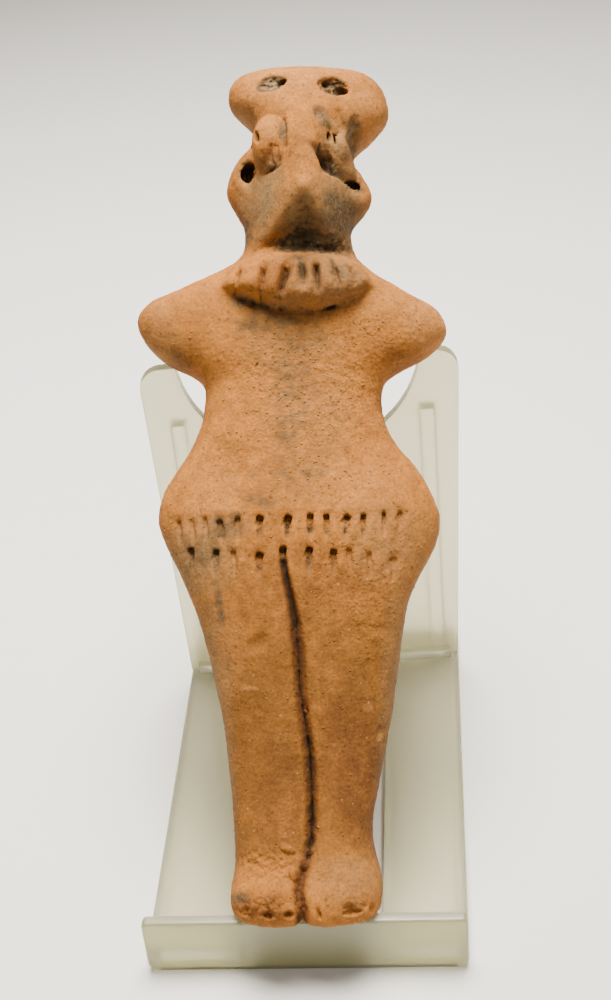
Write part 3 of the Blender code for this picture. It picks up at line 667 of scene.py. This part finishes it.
def without_groove(builder):
    """Raise the bottom of the solid's cut between the legs to its banks, to be cut again finer."""
    tree = BVHTree.FromBMesh(builder)
    upright = [(s, x) for x, s in GROOVE]
    low, high = SOLID_CUT_REACH
    well_in_front = -60.0
    for vert in builder.verts:
        x, n, s = vert.co.x / MM, -vert.co.y / MM, vert.co.z / MM
        line = profile(s, upright)
        if abs(x - line) > SOLID_CUT_HALF or not low < s < high or n < SOLID_CUT_BACK:
            continue
        if s < SOLE_REACH and n < SOLE_DEPTH:
            s = SOLE_LEVEL
        banks = []
        for side in BANKS:
            origin = Vector((line + side, well_in_front, s)) * MM
            hit = tree.ray_cast(origin, Vector((0.0, 1.0, 0.0)))[0]
            if hit:
                banks.append(-hit.y / MM)
        if banks and sum(banks) / len(banks) > n + 0.5:
            vert.co.y = -sum(banks) / len(banks) * MM
            vert.co.z = s * MM


def refined(mesh, x, s, n):
    """Halve the mesh's step where the detail is finest."""
    fine = groove_distance(x, s) < FINE_ALONG_GROOVE
    for centre, half in FINE_PLACES:
        fine |= spot(x, s, centre, half) > 0.0
    fine &= n > 5.0
    builder = bmesh.new()
    builder.from_mesh(mesh)
    builder.verts.ensure_lookup_table()
    chosen = [e for e in builder.edges if fine[e.verts[0].index] and fine[e.verts[1].index]]
    bmesh.ops.subdivide_edges(builder, edges=chosen, cuts=1, use_grid_fill=True)
    builder.to_mesh(mesh)
    builder.free()


def kept_and_filled(x, s, n):
    """How far the solid's cuts are kept sharp and how far they are filled, from 0 to 1."""
    front = eased(n, *FRONT_OF_CUTS)
    punched = strongest([((px, ps), PUNCH_FILLED, 1.0, 0.0, 0.4) for px, ps, *_ in PUNCHES], x, s)
    filled = strongest([(*fill, 0.0, FILL_EDGE) for fill in FILLS], x, s)
    return PUNCH_KEPT * punched * front, np.maximum(punched, filled) * front


def held_in(mesh, node):
    """Draw in what stands a grain's width outside the solid's box."""
    low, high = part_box(node)
    points, _ = read_points(mesh)
    write_points(mesh, np.clip(points, np.array(low) + BOX_MARGIN, np.array(high) - BOX_MARGIN))


def link(name, mesh, surface):
    """Object at the origin holding a mesh, with one material."""
    made = bpy.data.objects.new(name, mesh)
    bpy.context.scene.collection.objects.link(made)
    mesh.materials.clear()
    mesh.materials.append(surface)
    return made


def evaluated_mesh(made):
    """Plain mesh of an object with its modifiers worked in."""
    bpy.context.view_layer.update()
    graph = bpy.context.evaluated_depsgraph_get()
    return bpy.data.meshes.new_from_object(made.evaluated_get(graph))


def fine_figure_mesh(settings):
    """The solid's surface as an even fine mesh, in the figure's own frame, in metres."""
    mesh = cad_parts["statuette"].data.copy()
    mesh.transform(PLACE.inverted())
    builder = bmesh.new()
    builder.from_mesh(mesh)
    bmesh.ops.remove_doubles(builder, verts=builder.verts, dist=WELD)
    without_groove(builder)
    builder.to_mesh(mesh)
    builder.free()
    rough = bpy.data.objects.new("rough_figure", mesh)
    bpy.context.scene.collection.objects.link(rough)
    modifier = rough.modifiers.new("even", "REMESH")
    modifier.mode = "VOXEL"
    modifier.voxel_size = settings.mesh_step
    made = evaluated_mesh(rough)
    bpy.data.objects.remove(rough)
    return made


def rounded_moulding(node, width, plate_painted_shade):
    """A moulding's solid with its broken edges worked round."""
    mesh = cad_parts[node].data.copy()
    builder = bmesh.new()
    builder.from_mesh(mesh)
    bmesh.ops.remove_doubles(builder, verts=builder.verts, dist=WELD)
    bmesh.ops.dissolve_limit(
        builder, angle_limit=FLAT_WITHIN, verts=builder.verts, edges=builder.edges,
    )
    rim = builder.faces.layers.float.new("rim")
    builder.normal_update()
    largest = max(builder.faces, key=lambda f: f.calc_area())
    for face in builder.faces:
        # Broad faces take the given share of edge tint as painted shade; edges take all of it
        face[rim] = plate_painted_shade if abs(face.normal.dot(largest.normal)) > 0.9 else 1.0
    builder.to_mesh(mesh)
    builder.free()
    made = bpy.data.objects.new("sharp_moulding", mesh)
    bpy.context.scene.collection.objects.link(made)
    modifier = made.modifiers.new("round", "BEVEL")
    modifier.width = width
    modifier.segments = 2
    modifier.limit_method = "ANGLE"
    modifier.angle_limit = ROUNDED_FROM
    result = evaluated_mesh(made)
    bpy.data.objects.remove(made)
    result.shade_smooth()
    result.set_sharp_from_angle(angle=SHARP_FROM)
    return result


def thinned(mesh, triangles):
    """The mesh with fewer triangles where it is plain."""
    made = bpy.data.objects.new("thinned_figure", mesh)
    bpy.context.scene.collection.objects.link(made)
    modifier = made.modifiers.new("thin", "DECIMATE")
    modifier.ratio = triangles / (2 * len(mesh.polygons))
    modifier.use_collapse_triangulate = True
    result = evaluated_mesh(made)
    bpy.data.objects.remove(made)
    return result


def hand_relief(x, s, n, points, height):
    """Height of the hand-worked surface over the plain one, in metres."""
    front = eased(n, *FRONT_OF_RELIEF)
    worked = 0.35 + 0.65 * front * eased(s, 1.0, 4.0)
    ragged = swell(points, *RAGGED_SWELLS)
    swells = swell(points, *BROAD_SWELLS) + 0.35 * swell(points, *MIDDLE_SWELLS)
    relief = height / MM * worked * swells
    relief += 0.05 * swell(points, *SKIN_SWELLS)
    for _, centre, half, rise, turn, edge in FORMS:
        relief += rise * front * spot(x, s, centre, half, turn, edge)
    for start, end, rise, half in LINES:
        relief += rise * front * np.exp(-((stroke_distance(x, s, start, end) / half) ** 2))

    # Each punch is deep above and runs out below, with clay pushed up beside it
    for px, ps, strength, turn, width in PUNCHES:
        depth = PUNCH_DEPTH * strength * front
        relief -= depth * wedge(x - px, s - ps, PUNCH_HALF * width, PUNCH_RISE, turn)
        relief -= 0.35 * front * spot(x, s, (px + 0.1, ps - 1.5), (0.6, 2.0), turn / 3)
        relief += 0.18 * front * spot(x, s, (px + 1.3, ps - 1.8), (0.7, 2.8), turn / 3)

    # The cut between the legs is narrow and steep, with a soft cleft between the feet
    away = groove_distance(x, s)
    half = profile(s, GROOVE_HALF) * (1.0 + 0.05 * ragged)
    relief -= front * profile(s, GROOVE_DEPTH) * np.exp(-((away / half) ** 2))

    # Ragged clay, and sand that stands out of the skin
    relief += front * CRUMB_HEIGHT * ragged * strongest(CRUMBS, x, s)
    relief += 0.09 * ragged * coarseness(x, s, n)

    # The crown's flank is drawn in on the left
    relief -= 0.9 * np.exp(-(((s - 130.3) / 2.2) ** 2)) * eased(-x, 4.5, 7.5)
    return relief * MM


def coarseness(x, s, n):
    """Where sand stands out of the worn skin, from 0 to 1."""
    share = SAND_LEAST + strongest((SANDY_CHEST,), x, s)
    share = np.maximum(share, strongest(SANDY_PLACES, x, s))
    return share * eased(n, 5.0, 8.0)


def store_colours(mesh, points, edges, x, s, n):
    """Store colour washes, soil, residue with painted shade, sand and the fire's browning."""
    front = eased(n, *FRONT_OF_COLOUR)
    even = smoothed(points, edges, HOLLOW_ROUNDS)
    hollow = ((even - points) * read_normals(mesh)).sum(axis=1) / MM
    soil = np.clip(hollow * 1.6, 0.0, 0.8) * eased(s, 96.0, 100.0)
    soil = np.maximum(soil, strongest(STAINS, x, s) * front)
    cuts = strongest(RESIDUE_AND_PAINTED_SHADE, x, s) * front
    # Painted shade with brown residue in the collar's strokes
    for start, end, half, depth in STROKES:
        away = stroke_distance(x, s, start, end)
        mark = 0.58 * depth * eased(-s, -105.5, -103.0) * np.exp(-((away / half) ** 2))
        cuts = np.maximum(cuts, mark * front)
    away = groove_distance(x, s)
    # Painted shade with brown residue along the cut between the legs
    mark = profile(s, GROOVE_RESIDUE_AND_SHADE) * np.exp(-((away / GROOVE_RESIDUE_AND_SHADE_HALF) ** 2))
    cuts = np.maximum(cuts, mark * front)

    # Painted shade and residue in each punch and down its run-out, and soil below it
    for px, ps, strength, turn, width in PUNCHES:
        mark = min(1.0, 1.2 * strength) * wedge(x - px, s - ps - 0.2, 0.46 * width, 0.7, turn)
        trail = 0.7 * strength * spot(x, s, (px, ps - 0.9), (0.6 * width, 1.8), turn / 2, 0.6)
        cuts = np.maximum(cuts, np.maximum(mark, trail) * front)
        dust = 0.6 * strength * spot(x, s, (px, ps - 2.0), (0.8, 2.0), 0.0, 0.8)
        soil = np.maximum(soil, dust * front)

    washes = {kind: strongest(spots, x, s) * front for kind, spots in WASHES.items()}
    banks = 1.4 * np.exp(-((away / GROOVE_BROWN_HALF) ** 2))
    washes["brown"] = np.maximum(washes["brown"], banks * front)
    for kind, amount in washes.items():
        write_attribute(mesh, kind, amount)
    write_attribute(mesh, "soil", soil)
    write_attribute(mesh, "deep", cuts)
    write_attribute(mesh, "coarse", coarseness(x, s, n) * (1.0 - eased(s, 96.0, 97.0)))
    write_attribute(mesh, "tone", (1.0 - eased(s, 36.0, 62.0)) * eased(s, 6.0, 12.0))


def grain_scatter(surface):
    """Geometry nodes that stud a surface with flattened grains, denser where it is coarse."""
    tree = bpy.data.node_groups.new("sand_grains", "GeometryNodeTree")
    for name, kind in (
        ("Surface", "NodeSocketGeometry"), ("Density", "NodeSocketFloat"),
        ("Grain", "NodeSocketFloat"), ("Seed", "NodeSocketInt"),
    ):
        tree.interface.new_socket(name, in_out="INPUT", socket_type=kind)
    tree.interface.new_socket("Grains", in_out="OUTPUT", socket_type="NodeSocketGeometry")
    given = add(tree, "NodeGroupInput")
    coarse = add(tree, "GeometryNodeInputNamedAttribute", {"Name": "coarse"}, data_type="FLOAT")
    density = add(tree, "ShaderNodeMath", {
        0: given.outputs["Density"], 1: coarse.outputs["Attribute"],
    }, operation="MULTIPLY")
    places = add(tree, "GeometryNodeDistributePointsOnFaces", {
        "Mesh": given.outputs["Surface"], "Density": density.outputs["Value"],
        "Seed": given.outputs["Seed"],
    })
    grain = add(tree, "GeometryNodeMeshIcoSphere", {
        "Radius": given.outputs["Grain"], "Subdivisions": 1,
    })
    span = add(tree, "FunctionNodeRandomValue", {
        "Min": (0.4, 0.4, 0.2), "Max": (1.3, 1.3, 0.5), "Seed": given.outputs["Seed"],
    }, data_type="FLOAT_VECTOR")
    set_out = add(tree, "GeometryNodeInstanceOnPoints", {
        "Points": places.outputs["Points"], "Instance": grain.outputs["Mesh"],
        "Rotation": places.outputs["Rotation"], "Scale": span.outputs["Value"],
    })
    real = add(tree, "GeometryNodeRealizeInstances", {"Geometry": set_out.outputs["Instances"]})
    smooth = add(tree, "GeometryNodeSetShadeSmooth", {"Geometry": real.outputs["Geometry"]})
    painted = add(tree, "GeometryNodeSetMaterial", {
        "Geometry": smooth.outputs["Geometry"], "Material": surface,
    })
    add(tree, "NodeGroupOutput", {"Grains": painted.outputs["Geometry"]})
    return tree


def fired_clay(settings):
    """Low-fired clay, wiped by hand and gritty with sand.

    Matt and mottled orange to brown, with fine wipe lines, dark sand grains, a few bright ones,
    grey burial soil in the hollows, and brown residue with painted shade in the cuts.
    """
    made = bpy.data.materials.new("fired_clay_hand_wiped")
    made.use_nodes = True
    tree = made.node_tree
    shader = tree.nodes["Principled BSDF"]
    world = add(tree, "ShaderNodeTexCoord").outputs["Object"]
    own = add(tree, "ShaderNodeMapping", {
        "Vector": world, "Location": PLACE.translation, "Rotation": PLACE.to_euler("XYZ"),
        "Scale": (MM, MM, MM),
    }, vector_type="TEXTURE").outputs["Vector"]
    tone, pale, soil, deep, dull, brown, coarse = (
        add(tree, "ShaderNodeAttribute", attribute_name=name).outputs["Fac"]
        for name in ("tone", "pale", "soil", "deep", "dull", "brown", "coarse")
    )

    # Mottling left by the fire, about 14 mm and 2.5 mm across
    mottling = []
    for size, detail in ((14.0, 3.0), (2.5, 5.0)):
        cloud = add(tree, "ShaderNodeTexNoise", {
            "Vector": own, "Scale": 1 / size, "Detail": detail,
        })
        mottling.append(add(tree, "ShaderNodeMapRange", {
            "Value": cloud.outputs["Fac"], **NOISE_SPAN, "To Min": -0.3, "To Max": 0.3,
        }).outputs["Result"])
    drift, patch = mottling
    share = add(tree, "ShaderNodeMath", {0: tone, 1: drift}, operation="ADD")
    share = add(tree, "ShaderNodeMath", {0: share.outputs["Value"], 1: patch},
                operation="ADD", use_clamp=True)
    body = add(tree, "ShaderNodeMix", {
        "Factor": share.outputs["Value"], "A": (*settings.chest, 1), "B": (*settings.legs, 1),
    }, data_type="RGBA")
    uneven = add(tree, "ShaderNodeMath", {0: patch, 1: 1.2, 2: 1.0}, operation="MULTIPLY_ADD")
    for amount, colour in ((pale, settings.blush), (brown, settings.brown), (dull, settings.dull)):
        wash = add(tree, "ShaderNodeMath", {0: amount, 1: uneven.outputs["Value"]},
                   operation="MULTIPLY", use_clamp=True)
        body = add(tree, "ShaderNodeMix", {
            "Factor": wash.outputs["Value"], "A": body.outputs["Result"], "B": (*colour, 1),
        }, data_type="RGBA")

    # Uneven firing, handling and sand, from 9 mm patches down to 0.45 mm grit. The grit is really
    # 0.1 to 0.3 mm and is drawn coarser so that it shows.
    for size, detail, low, high in (
        (9.0, 2.0, 0.88, 1.10), (1.8, 3.0, 0.86, 1.12), (0.45, 2.0, 0.80, 1.16),
    ):
        cloud = add(tree, "ShaderNodeTexNoise", {
            "Vector": own, "Scale": 1 / size, "Detail": detail,
        })
        shade = add(tree, "ShaderNodeMapRange", {
            "Value": cloud.outputs["Fac"], **NOISE_SPAN, "To Min": low, "To Max": high,
        })
        body = add(tree, "ShaderNodeMix", {
            "Factor": 1.0, "A": body.outputs["Result"], "B": shade.outputs["Result"],
        }, data_type="RGBA", blend_type="MULTIPLY")

    # Single grains, dark iron and pale quartz: spacing, channel that picks them, rarity, strength
    for size, channel, rarity, strength, code in (
        (0.7, "Red", 0.84, 0.50, "#2e1808"), (0.6, "Green", 0.97, 0.30, "#d8b080"),
        (1.3, "Blue", 0.84, 0.50, "#3a2210"),
    ):
        grains = add(tree, "ShaderNodeTexVoronoi", {"Vector": own, "Scale": 1 / size})
        pick = add(tree, "ShaderNodeSeparateColor", {"Color": grains.outputs["Color"]})
        near = add(tree, "ShaderNodeMapRange", {
            "Value": grains.outputs["Distance"], "From Min": 0.30, "From Max": 0.12,
            "To Max": strength,
        })
        some = add(tree, "ShaderNodeMath", {0: pick.outputs[channel], 1: rarity},
                   operation="GREATER_THAN")
        some = add(tree, "ShaderNodeMath", {0: some.outputs["Value"], 1: near.outputs["Result"]},
                   operation="MULTIPLY")
        body = add(tree, "ShaderNodeMix", {
            "Factor": some.outputs["Value"], "A": body.outputs["Result"], "B": (*linear(code), 1),
        }, data_type="RGBA")

    # Soil lies in crusts broken at about 1.5 mm and speckled at 0.45 mm
    crust = add(tree, "ShaderNodeTexNoise", {"Vector": own, "Scale": 1 / 1.5, "Detail": 5.0})
    lumps = add(tree, "ShaderNodeTexNoise", {"Vector": own, "Scale": 1 / 0.45, "Detail": 3.0})
    broken = add(tree, "ShaderNodeMath", {0: crust.outputs["Fac"], 1: 1.3, 2: -1.4},
                 operation="MULTIPLY_ADD")
    broken = add(tree, "ShaderNodeMath", {
        0: lumps.outputs["Fac"], 1: 1.5, 2: broken.outputs["Value"],
    }, operation="MULTIPLY_ADD")
    dust = add(tree, "ShaderNodeMath", {0: soil, 1: broken.outputs["Value"]}, operation="ADD")
    dust = add(tree, "ShaderNodeMapRange", {
        "Value": dust.outputs["Value"], "From Min": 0.31, "From Max": 0.80, "To Max": 0.88,
    })
    shade = add(tree, "ShaderNodeMapRange", {
        "Value": lumps.outputs["Fac"], "From Min": 0.35, "From Max": 0.65,
    })
    earth = add(tree, "ShaderNodeMix", {
        "Factor": shade.outputs["Result"], "A": (*linear("#33230f"), 1), "B": (*settings.soil, 1),
    }, data_type="RGBA")

    # The thickest crust is paler
    thick = add(tree, "ShaderNodeMapRange", {
        "Value": soil, "From Min": 1.05, "From Max": 1.5, "To Max": 0.8,
    })
    earth = add(tree, "ShaderNodeMix", {
        "Factor": thick.outputs["Result"], "A": earth.outputs["Result"],
        "B": (*linear("#8a785c"), 1),
    }, data_type="RGBA")
    body = add(tree, "ShaderNodeMix", {
        "Factor": dust.outputs["Result"], "A": body.outputs["Result"], "B": earth.outputs["Result"],
    }, data_type="RGBA")

    # Brown residue and painted shade lie in the cuts and are broken as the soil is
    residue_and_shade = add(tree, "ShaderNodeMath", {0: broken.outputs["Value"], 1: 0.7, 2: deep},
                operation="MULTIPLY_ADD")
    residue_and_shade = add(tree, "ShaderNodeMapRange", {
        "Value": residue_and_shade.outputs["Value"], "From Min": 0.28, "From Max": 0.85, "To Max": 0.96,
    })
    body = add(tree, "ShaderNodeMix", {
        "Factor": residue_and_shade.outputs["Result"], "A": body.outputs["Result"], "B": (*settings.dark, 1),
    }, data_type="RGBA")
    tree.links.new(body.outputs["Result"], shader.inputs["Base Color"])
    shader.inputs["Roughness"].default_value = 0.86
    shader.inputs["Specular IOR Level"].default_value = 0.2

    # Heights in metres: lines left by wiping, slanting over the chest, pebbly skin and sandy grit
    wiped = add(tree, "ShaderNodeMapping", {
        "Vector": own, "Rotation": (0.0, math.radians(52), 0.0), "Scale": (1 / 5, 1 / 2, 1 / 0.4),
    })
    lines = add(tree, "ShaderNodeTexNoise", {
        "Vector": wiped.outputs["Vector"], "Scale": 1.0, "Detail": 2.0,
    })
    height = add(tree, "ShaderNodeMath", {0: lines.outputs["Fac"], 1: 0.05 * MM},
                 operation="MULTIPLY")
    for size, detail, rise in ((1.2, 5.0, 0.34 * MM), (0.5, 2.0, 0.18 * MM)):
        grit = add(tree, "ShaderNodeTexNoise", {"Vector": own, "Scale": 1 / size, "Detail": detail})
        height = add(tree, "ShaderNodeMath", {
            0: grit.outputs["Fac"], 1: rise, 2: height.outputs["Value"],
        }, operation="MULTIPLY_ADD")
    worn = add(tree, "ShaderNodeMapRange", {"Value": coarse, "To Min": 0.45, "To Max": 0.9})
    bump = add(tree, "ShaderNodeBump", {
        "Height": height.outputs["Value"], "Distance": 1.0, "Strength": worn.outputs["Result"],
    })
    tree.links.new(bump.outputs["Normal"], shader.inputs["Normal"])
    return made


def frosted_polystyrene(settings):
    """Crystal polystyrene moulded against a finely blasted tool.

    Clear but frosted, faintly yellow-green, brighter and greener along the edges.
    """
    made = bpy.data.materials.new("frosted_moulded_polystyrene")
    made.use_nodes = True
    tree = made.node_tree
    shader = tree.nodes["Principled BSDF"]
    shader.inputs["IOR"].default_value = 1.59
    shader.inputs["Transmission Weight"].default_value = 0.84
    place = add(tree, "ShaderNodeTexCoord").outputs["Object"]

    # The blasted grain is about 0.15 mm, drawn at 0.5 mm so that it shows
    grain = add(tree, "ShaderNodeTexNoise", {
        "Vector": place, "Scale": 1 / (0.5 * MM), "Detail": 2.0,
    })
    rough = add(tree, "ShaderNodeMapRange", {
        "Value": grain.outputs["Fac"], **NOISE_SPAN,
        "To Min": settings.frosting - 0.06, "To Max": settings.frosting + 0.06,
    })
    tree.links.new(rough.outputs["Result"], shader.inputs["Roughness"])
    # Edge tint on the edges, and in part on the back rest's broad faces as painted shade
    rim = add(tree, "ShaderNodeAttribute", attribute_name="rim").outputs["Fac"]
    tint = add(tree, "ShaderNodeMix", {
        "Factor": rim, "A": (*settings.tint, 1), "B": (*settings.edge_tint, 1),
    }, data_type="RGBA")
    tree.links.new(tint.outputs["Result"], shader.inputs["Base Color"])
    return made


def matt_floor(settings):
    """Plain pale matt paint."""
    made = bpy.data.materials.new("matt_painted_floor")
    made.use_nodes = True
    shader = made.node_tree.nodes["Principled BSDF"]
    shader.inputs["Base Color"].default_value = (*settings.floor, 1)
    shader.inputs["Roughness"].default_value = 0.9
    shader.inputs["Specular IOR Level"].default_value = 0.2
    return made


class MakeClayFigure(bpy.types.Operator):
    """Make the fired clay figure from the solid, with its hand-worked surface."""

    bl_idname = "statuette.clay_figure"
    bl_label = "Clay figure"

    def execute(self, context):
        settings = context.scene.statuette_clay
        mesh = fine_figure_mesh(settings)
        points, edges = read_points(mesh)
        kept, filled = kept_and_filled(*own_places(points))
        points = without_facets(points, edges, settings.facet_rounds, kept, filled)
        write_points(mesh, points)
        refined(mesh, *own_places(points))

        # The collar's lower edge curves up towards its ends
        points, edges = read_points(mesh)
        x, s, n = own_places(points)
        curve = profile(x, COLLAR_CURVE)
        curve *= eased(s, 94.0, 97.0) * eased(-s, -104.0, -98.5) * eased(n, *FRONT_OF_COLLAR)
        points[:, 2] += curve * MM
        write_points(mesh, points)

        # The hand-worked surface stands along the normals, the collar's marks straight forward
        x, s, n = own_places(points)
        relief = hand_relief(x, s, n, points / MM, settings.unevenness)
        points += relief[:, None] * read_normals(mesh)
        points[:, 1] -= eased(n, *FRONT_OF_COLLAR) * collar_relief(x, s) * MM
        write_points(mesh, points)
        store_colours(mesh, points, edges, x, s, n)
        mesh = thinned(mesh, settings.triangles)

        mesh.transform(PLACE)
        held_in(mesh, "statuette")
        mesh.shade_smooth()
        figure = link("clay_figure", mesh, fired_clay(settings))
        mesh.name = "clay_figure"
        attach(figure, "root")
        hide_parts("statuette")
        return {"FINISHED"}


class StudWithGrains(bpy.types.Operator):
    """Stud the worn places of the figure with sand grains of the clay's own temper."""

    bl_idname = "statuette.sand_grains"
    bl_label = "Sand grains"

    def execute(self, context):
        settings = context.scene.statuette_clay
        figure = bpy.data.objects["clay_figure"]
        holder = bpy.data.objects.new("grain_holder", figure.data)
        context.scene.collection.objects.link(holder)
        modifier = holder.modifiers.new("grains", "NODES")
        modifier.node_group = grain_scatter(figure.data.materials[0])
        values = {"Density": settings.grit, "Grain": settings.grain, "Seed": settings.seed}
        for socket in modifier.node_group.interface.items_tree:
            if socket.name in values:
                modifier[socket.identifier] = values[socket.name]
        mesh = evaluated_mesh(holder)
        bpy.data.objects.remove(holder)
        if not mesh.polygons:
            raise RuntimeError("no grains were made")
        held_in(mesh, "statuette")
        grains = link("sand_grains", mesh, figure.data.materials[0])
        mesh.name = "sand_grains"
        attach(grains, "root")
        return {"FINISHED"}


class MakeEasel(bpy.types.Operator):
    """Make the easel's two mouldings with softly rounded edges."""

    bl_idname = "statuette.easel"
    bl_label = "Easel"

    def execute(self, context):
        settings = context.scene.statuette_easel
        surface = frosted_polystyrene(settings)
        # The back rest's broad faces take part of the edge tint as painted shade
        for node, name, plate_painted_shade in (
            ("easel_base", "frosted_easel_base", 0.0), ("easel_back", "frosted_easel_back", 0.4),
        ):
            mesh = rounded_moulding(node, settings.edge_round, plate_painted_shade)
            piece = link(name, mesh, surface)
            mesh.name = name
            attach(piece, "root")
            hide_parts(node)
        return {"FINISHED"}


class SetStage(bpy.types.Operator):
    """Lay the floor, hang the lights and set the camera where the photograph was taken."""

    bl_idname = "statuette.stage"
    bl_label = "Stage"

    def execute(self, context):
        settings = context.scene.statuette_stage
        scene = context.scene
        mesh = bpy.data.meshes.new("floor")
        half = settings.floor_size / 2
        mesh.from_pydata([(-half, -half, 0), (half, -half, 0), (half, half, 0), (-half, half, 0)],
                         [], [(0, 1, 2, 3)])
        link("floor", mesh, matt_floor(settings))

        world = bpy.data.worlds.new("even_light")
        scene.world = world
        world.use_nodes = True
        sky = world.node_tree.nodes["Background"]
        sky.inputs["Color"].default_value = (*linear("#fbf9f4"), 1)
        sky.inputs["Strength"].default_value = settings.sky

        for name, place, size, power, colour in (
            ("key_lamp", (0.0, 0.16, 0.78), 0.48, settings.lamp, "#fffaf3"),
            ("fill_lamp", (0.25, -0.75, 0.75), 0.7, settings.lamp * 0.10, "#fbfbff"),
        ):
            data = bpy.data.lights.new(name, "AREA")
            data.size = size
            data.spread = LAMP_SPREAD
            data.energy = power
            data.color = linear(colour)
            lamp = bpy.data.objects.new(name, data)
            scene.collection.objects.link(lamp)
            lamp.location = place
            aim = LAMP_AIM - Vector(place)
            lamp.rotation_euler = aim.to_track_quat("-Z", "Y").to_euler()

        low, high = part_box("easel_base")
        data = bpy.data.cameras.new("camera")
        data.sensor_width = SENSOR
        data.lens = FOCAL_PIXELS * SENSOR / PICTURE_HEIGHT
        camera = bpy.data.objects.new("camera", data)
        scene.collection.objects.link(camera)
        turn = Matrix.Rotation(-CAMERA_YAW, 4, "Z")
        turn = turn @ Matrix.Rotation(math.pi / 2 - CAMERA_PITCH, 4, "X")
        turn = turn @ Matrix.Rotation(CAMERA_ROLL, 4, "Z")
        camera.rotation_euler = turn.to_euler()
        camera.location = Vector(((low.x + high.x) / 2, low.y, 0.0)) + CAMERA_PLACE
        scene.camera = camera
        return {"FINISHED"}


class StatuettePanel(bpy.types.Panel):
    """The statuette's steps in the sidebar."""

    bl_idname = "VIEW3D_PT_statuette"
    bl_label = "Statuette"
    bl_space_type = "VIEW_3D"
    bl_region_type = "UI"
    bl_category = "Statuette"

    def draw(self, context):
        for step in STEPS:
            self.layout.operator(step.bl_idname)
        for group in SETTINGS:
            settings = getattr(context.scene, group)
            for name in settings.bl_rna.properties.keys():
                if name not in ("rna_type", "name"):
                    self.layout.prop(settings, name)


SETTINGS = {
    "statuette_clay": ClaySettings,
    "statuette_easel": EaselSettings,
    "statuette_stage": StageSettings,
}
STEPS = (MakeClayFigure, StudWithGrains, MakeEasel, SetStage)


def register():
    """Add the classes and their settings to Blender."""
    for kind in (*SETTINGS.values(), *STEPS, StatuettePanel):
        bpy.utils.register_class(kind)
    for name, kind in SETTINGS.items():
        setattr(bpy.types.Scene, name, bpy.props.PointerProperty(type=kind))


def unregister():
    """Take them away again."""
    for name in SETTINGS:
        delattr(bpy.types.Scene, name)
    for kind in (StatuettePanel, *STEPS, *SETTINGS.values()):
        bpy.utils.unregister_class(kind)


def main():
    """Make every piece in order."""
    register()
    bpy.ops.statuette.clay_figure()
    bpy.ops.statuette.sand_grains()
    bpy.ops.statuette.easel()
    bpy.ops.statuette.stage()


if __name__ == "__main__":
    main()
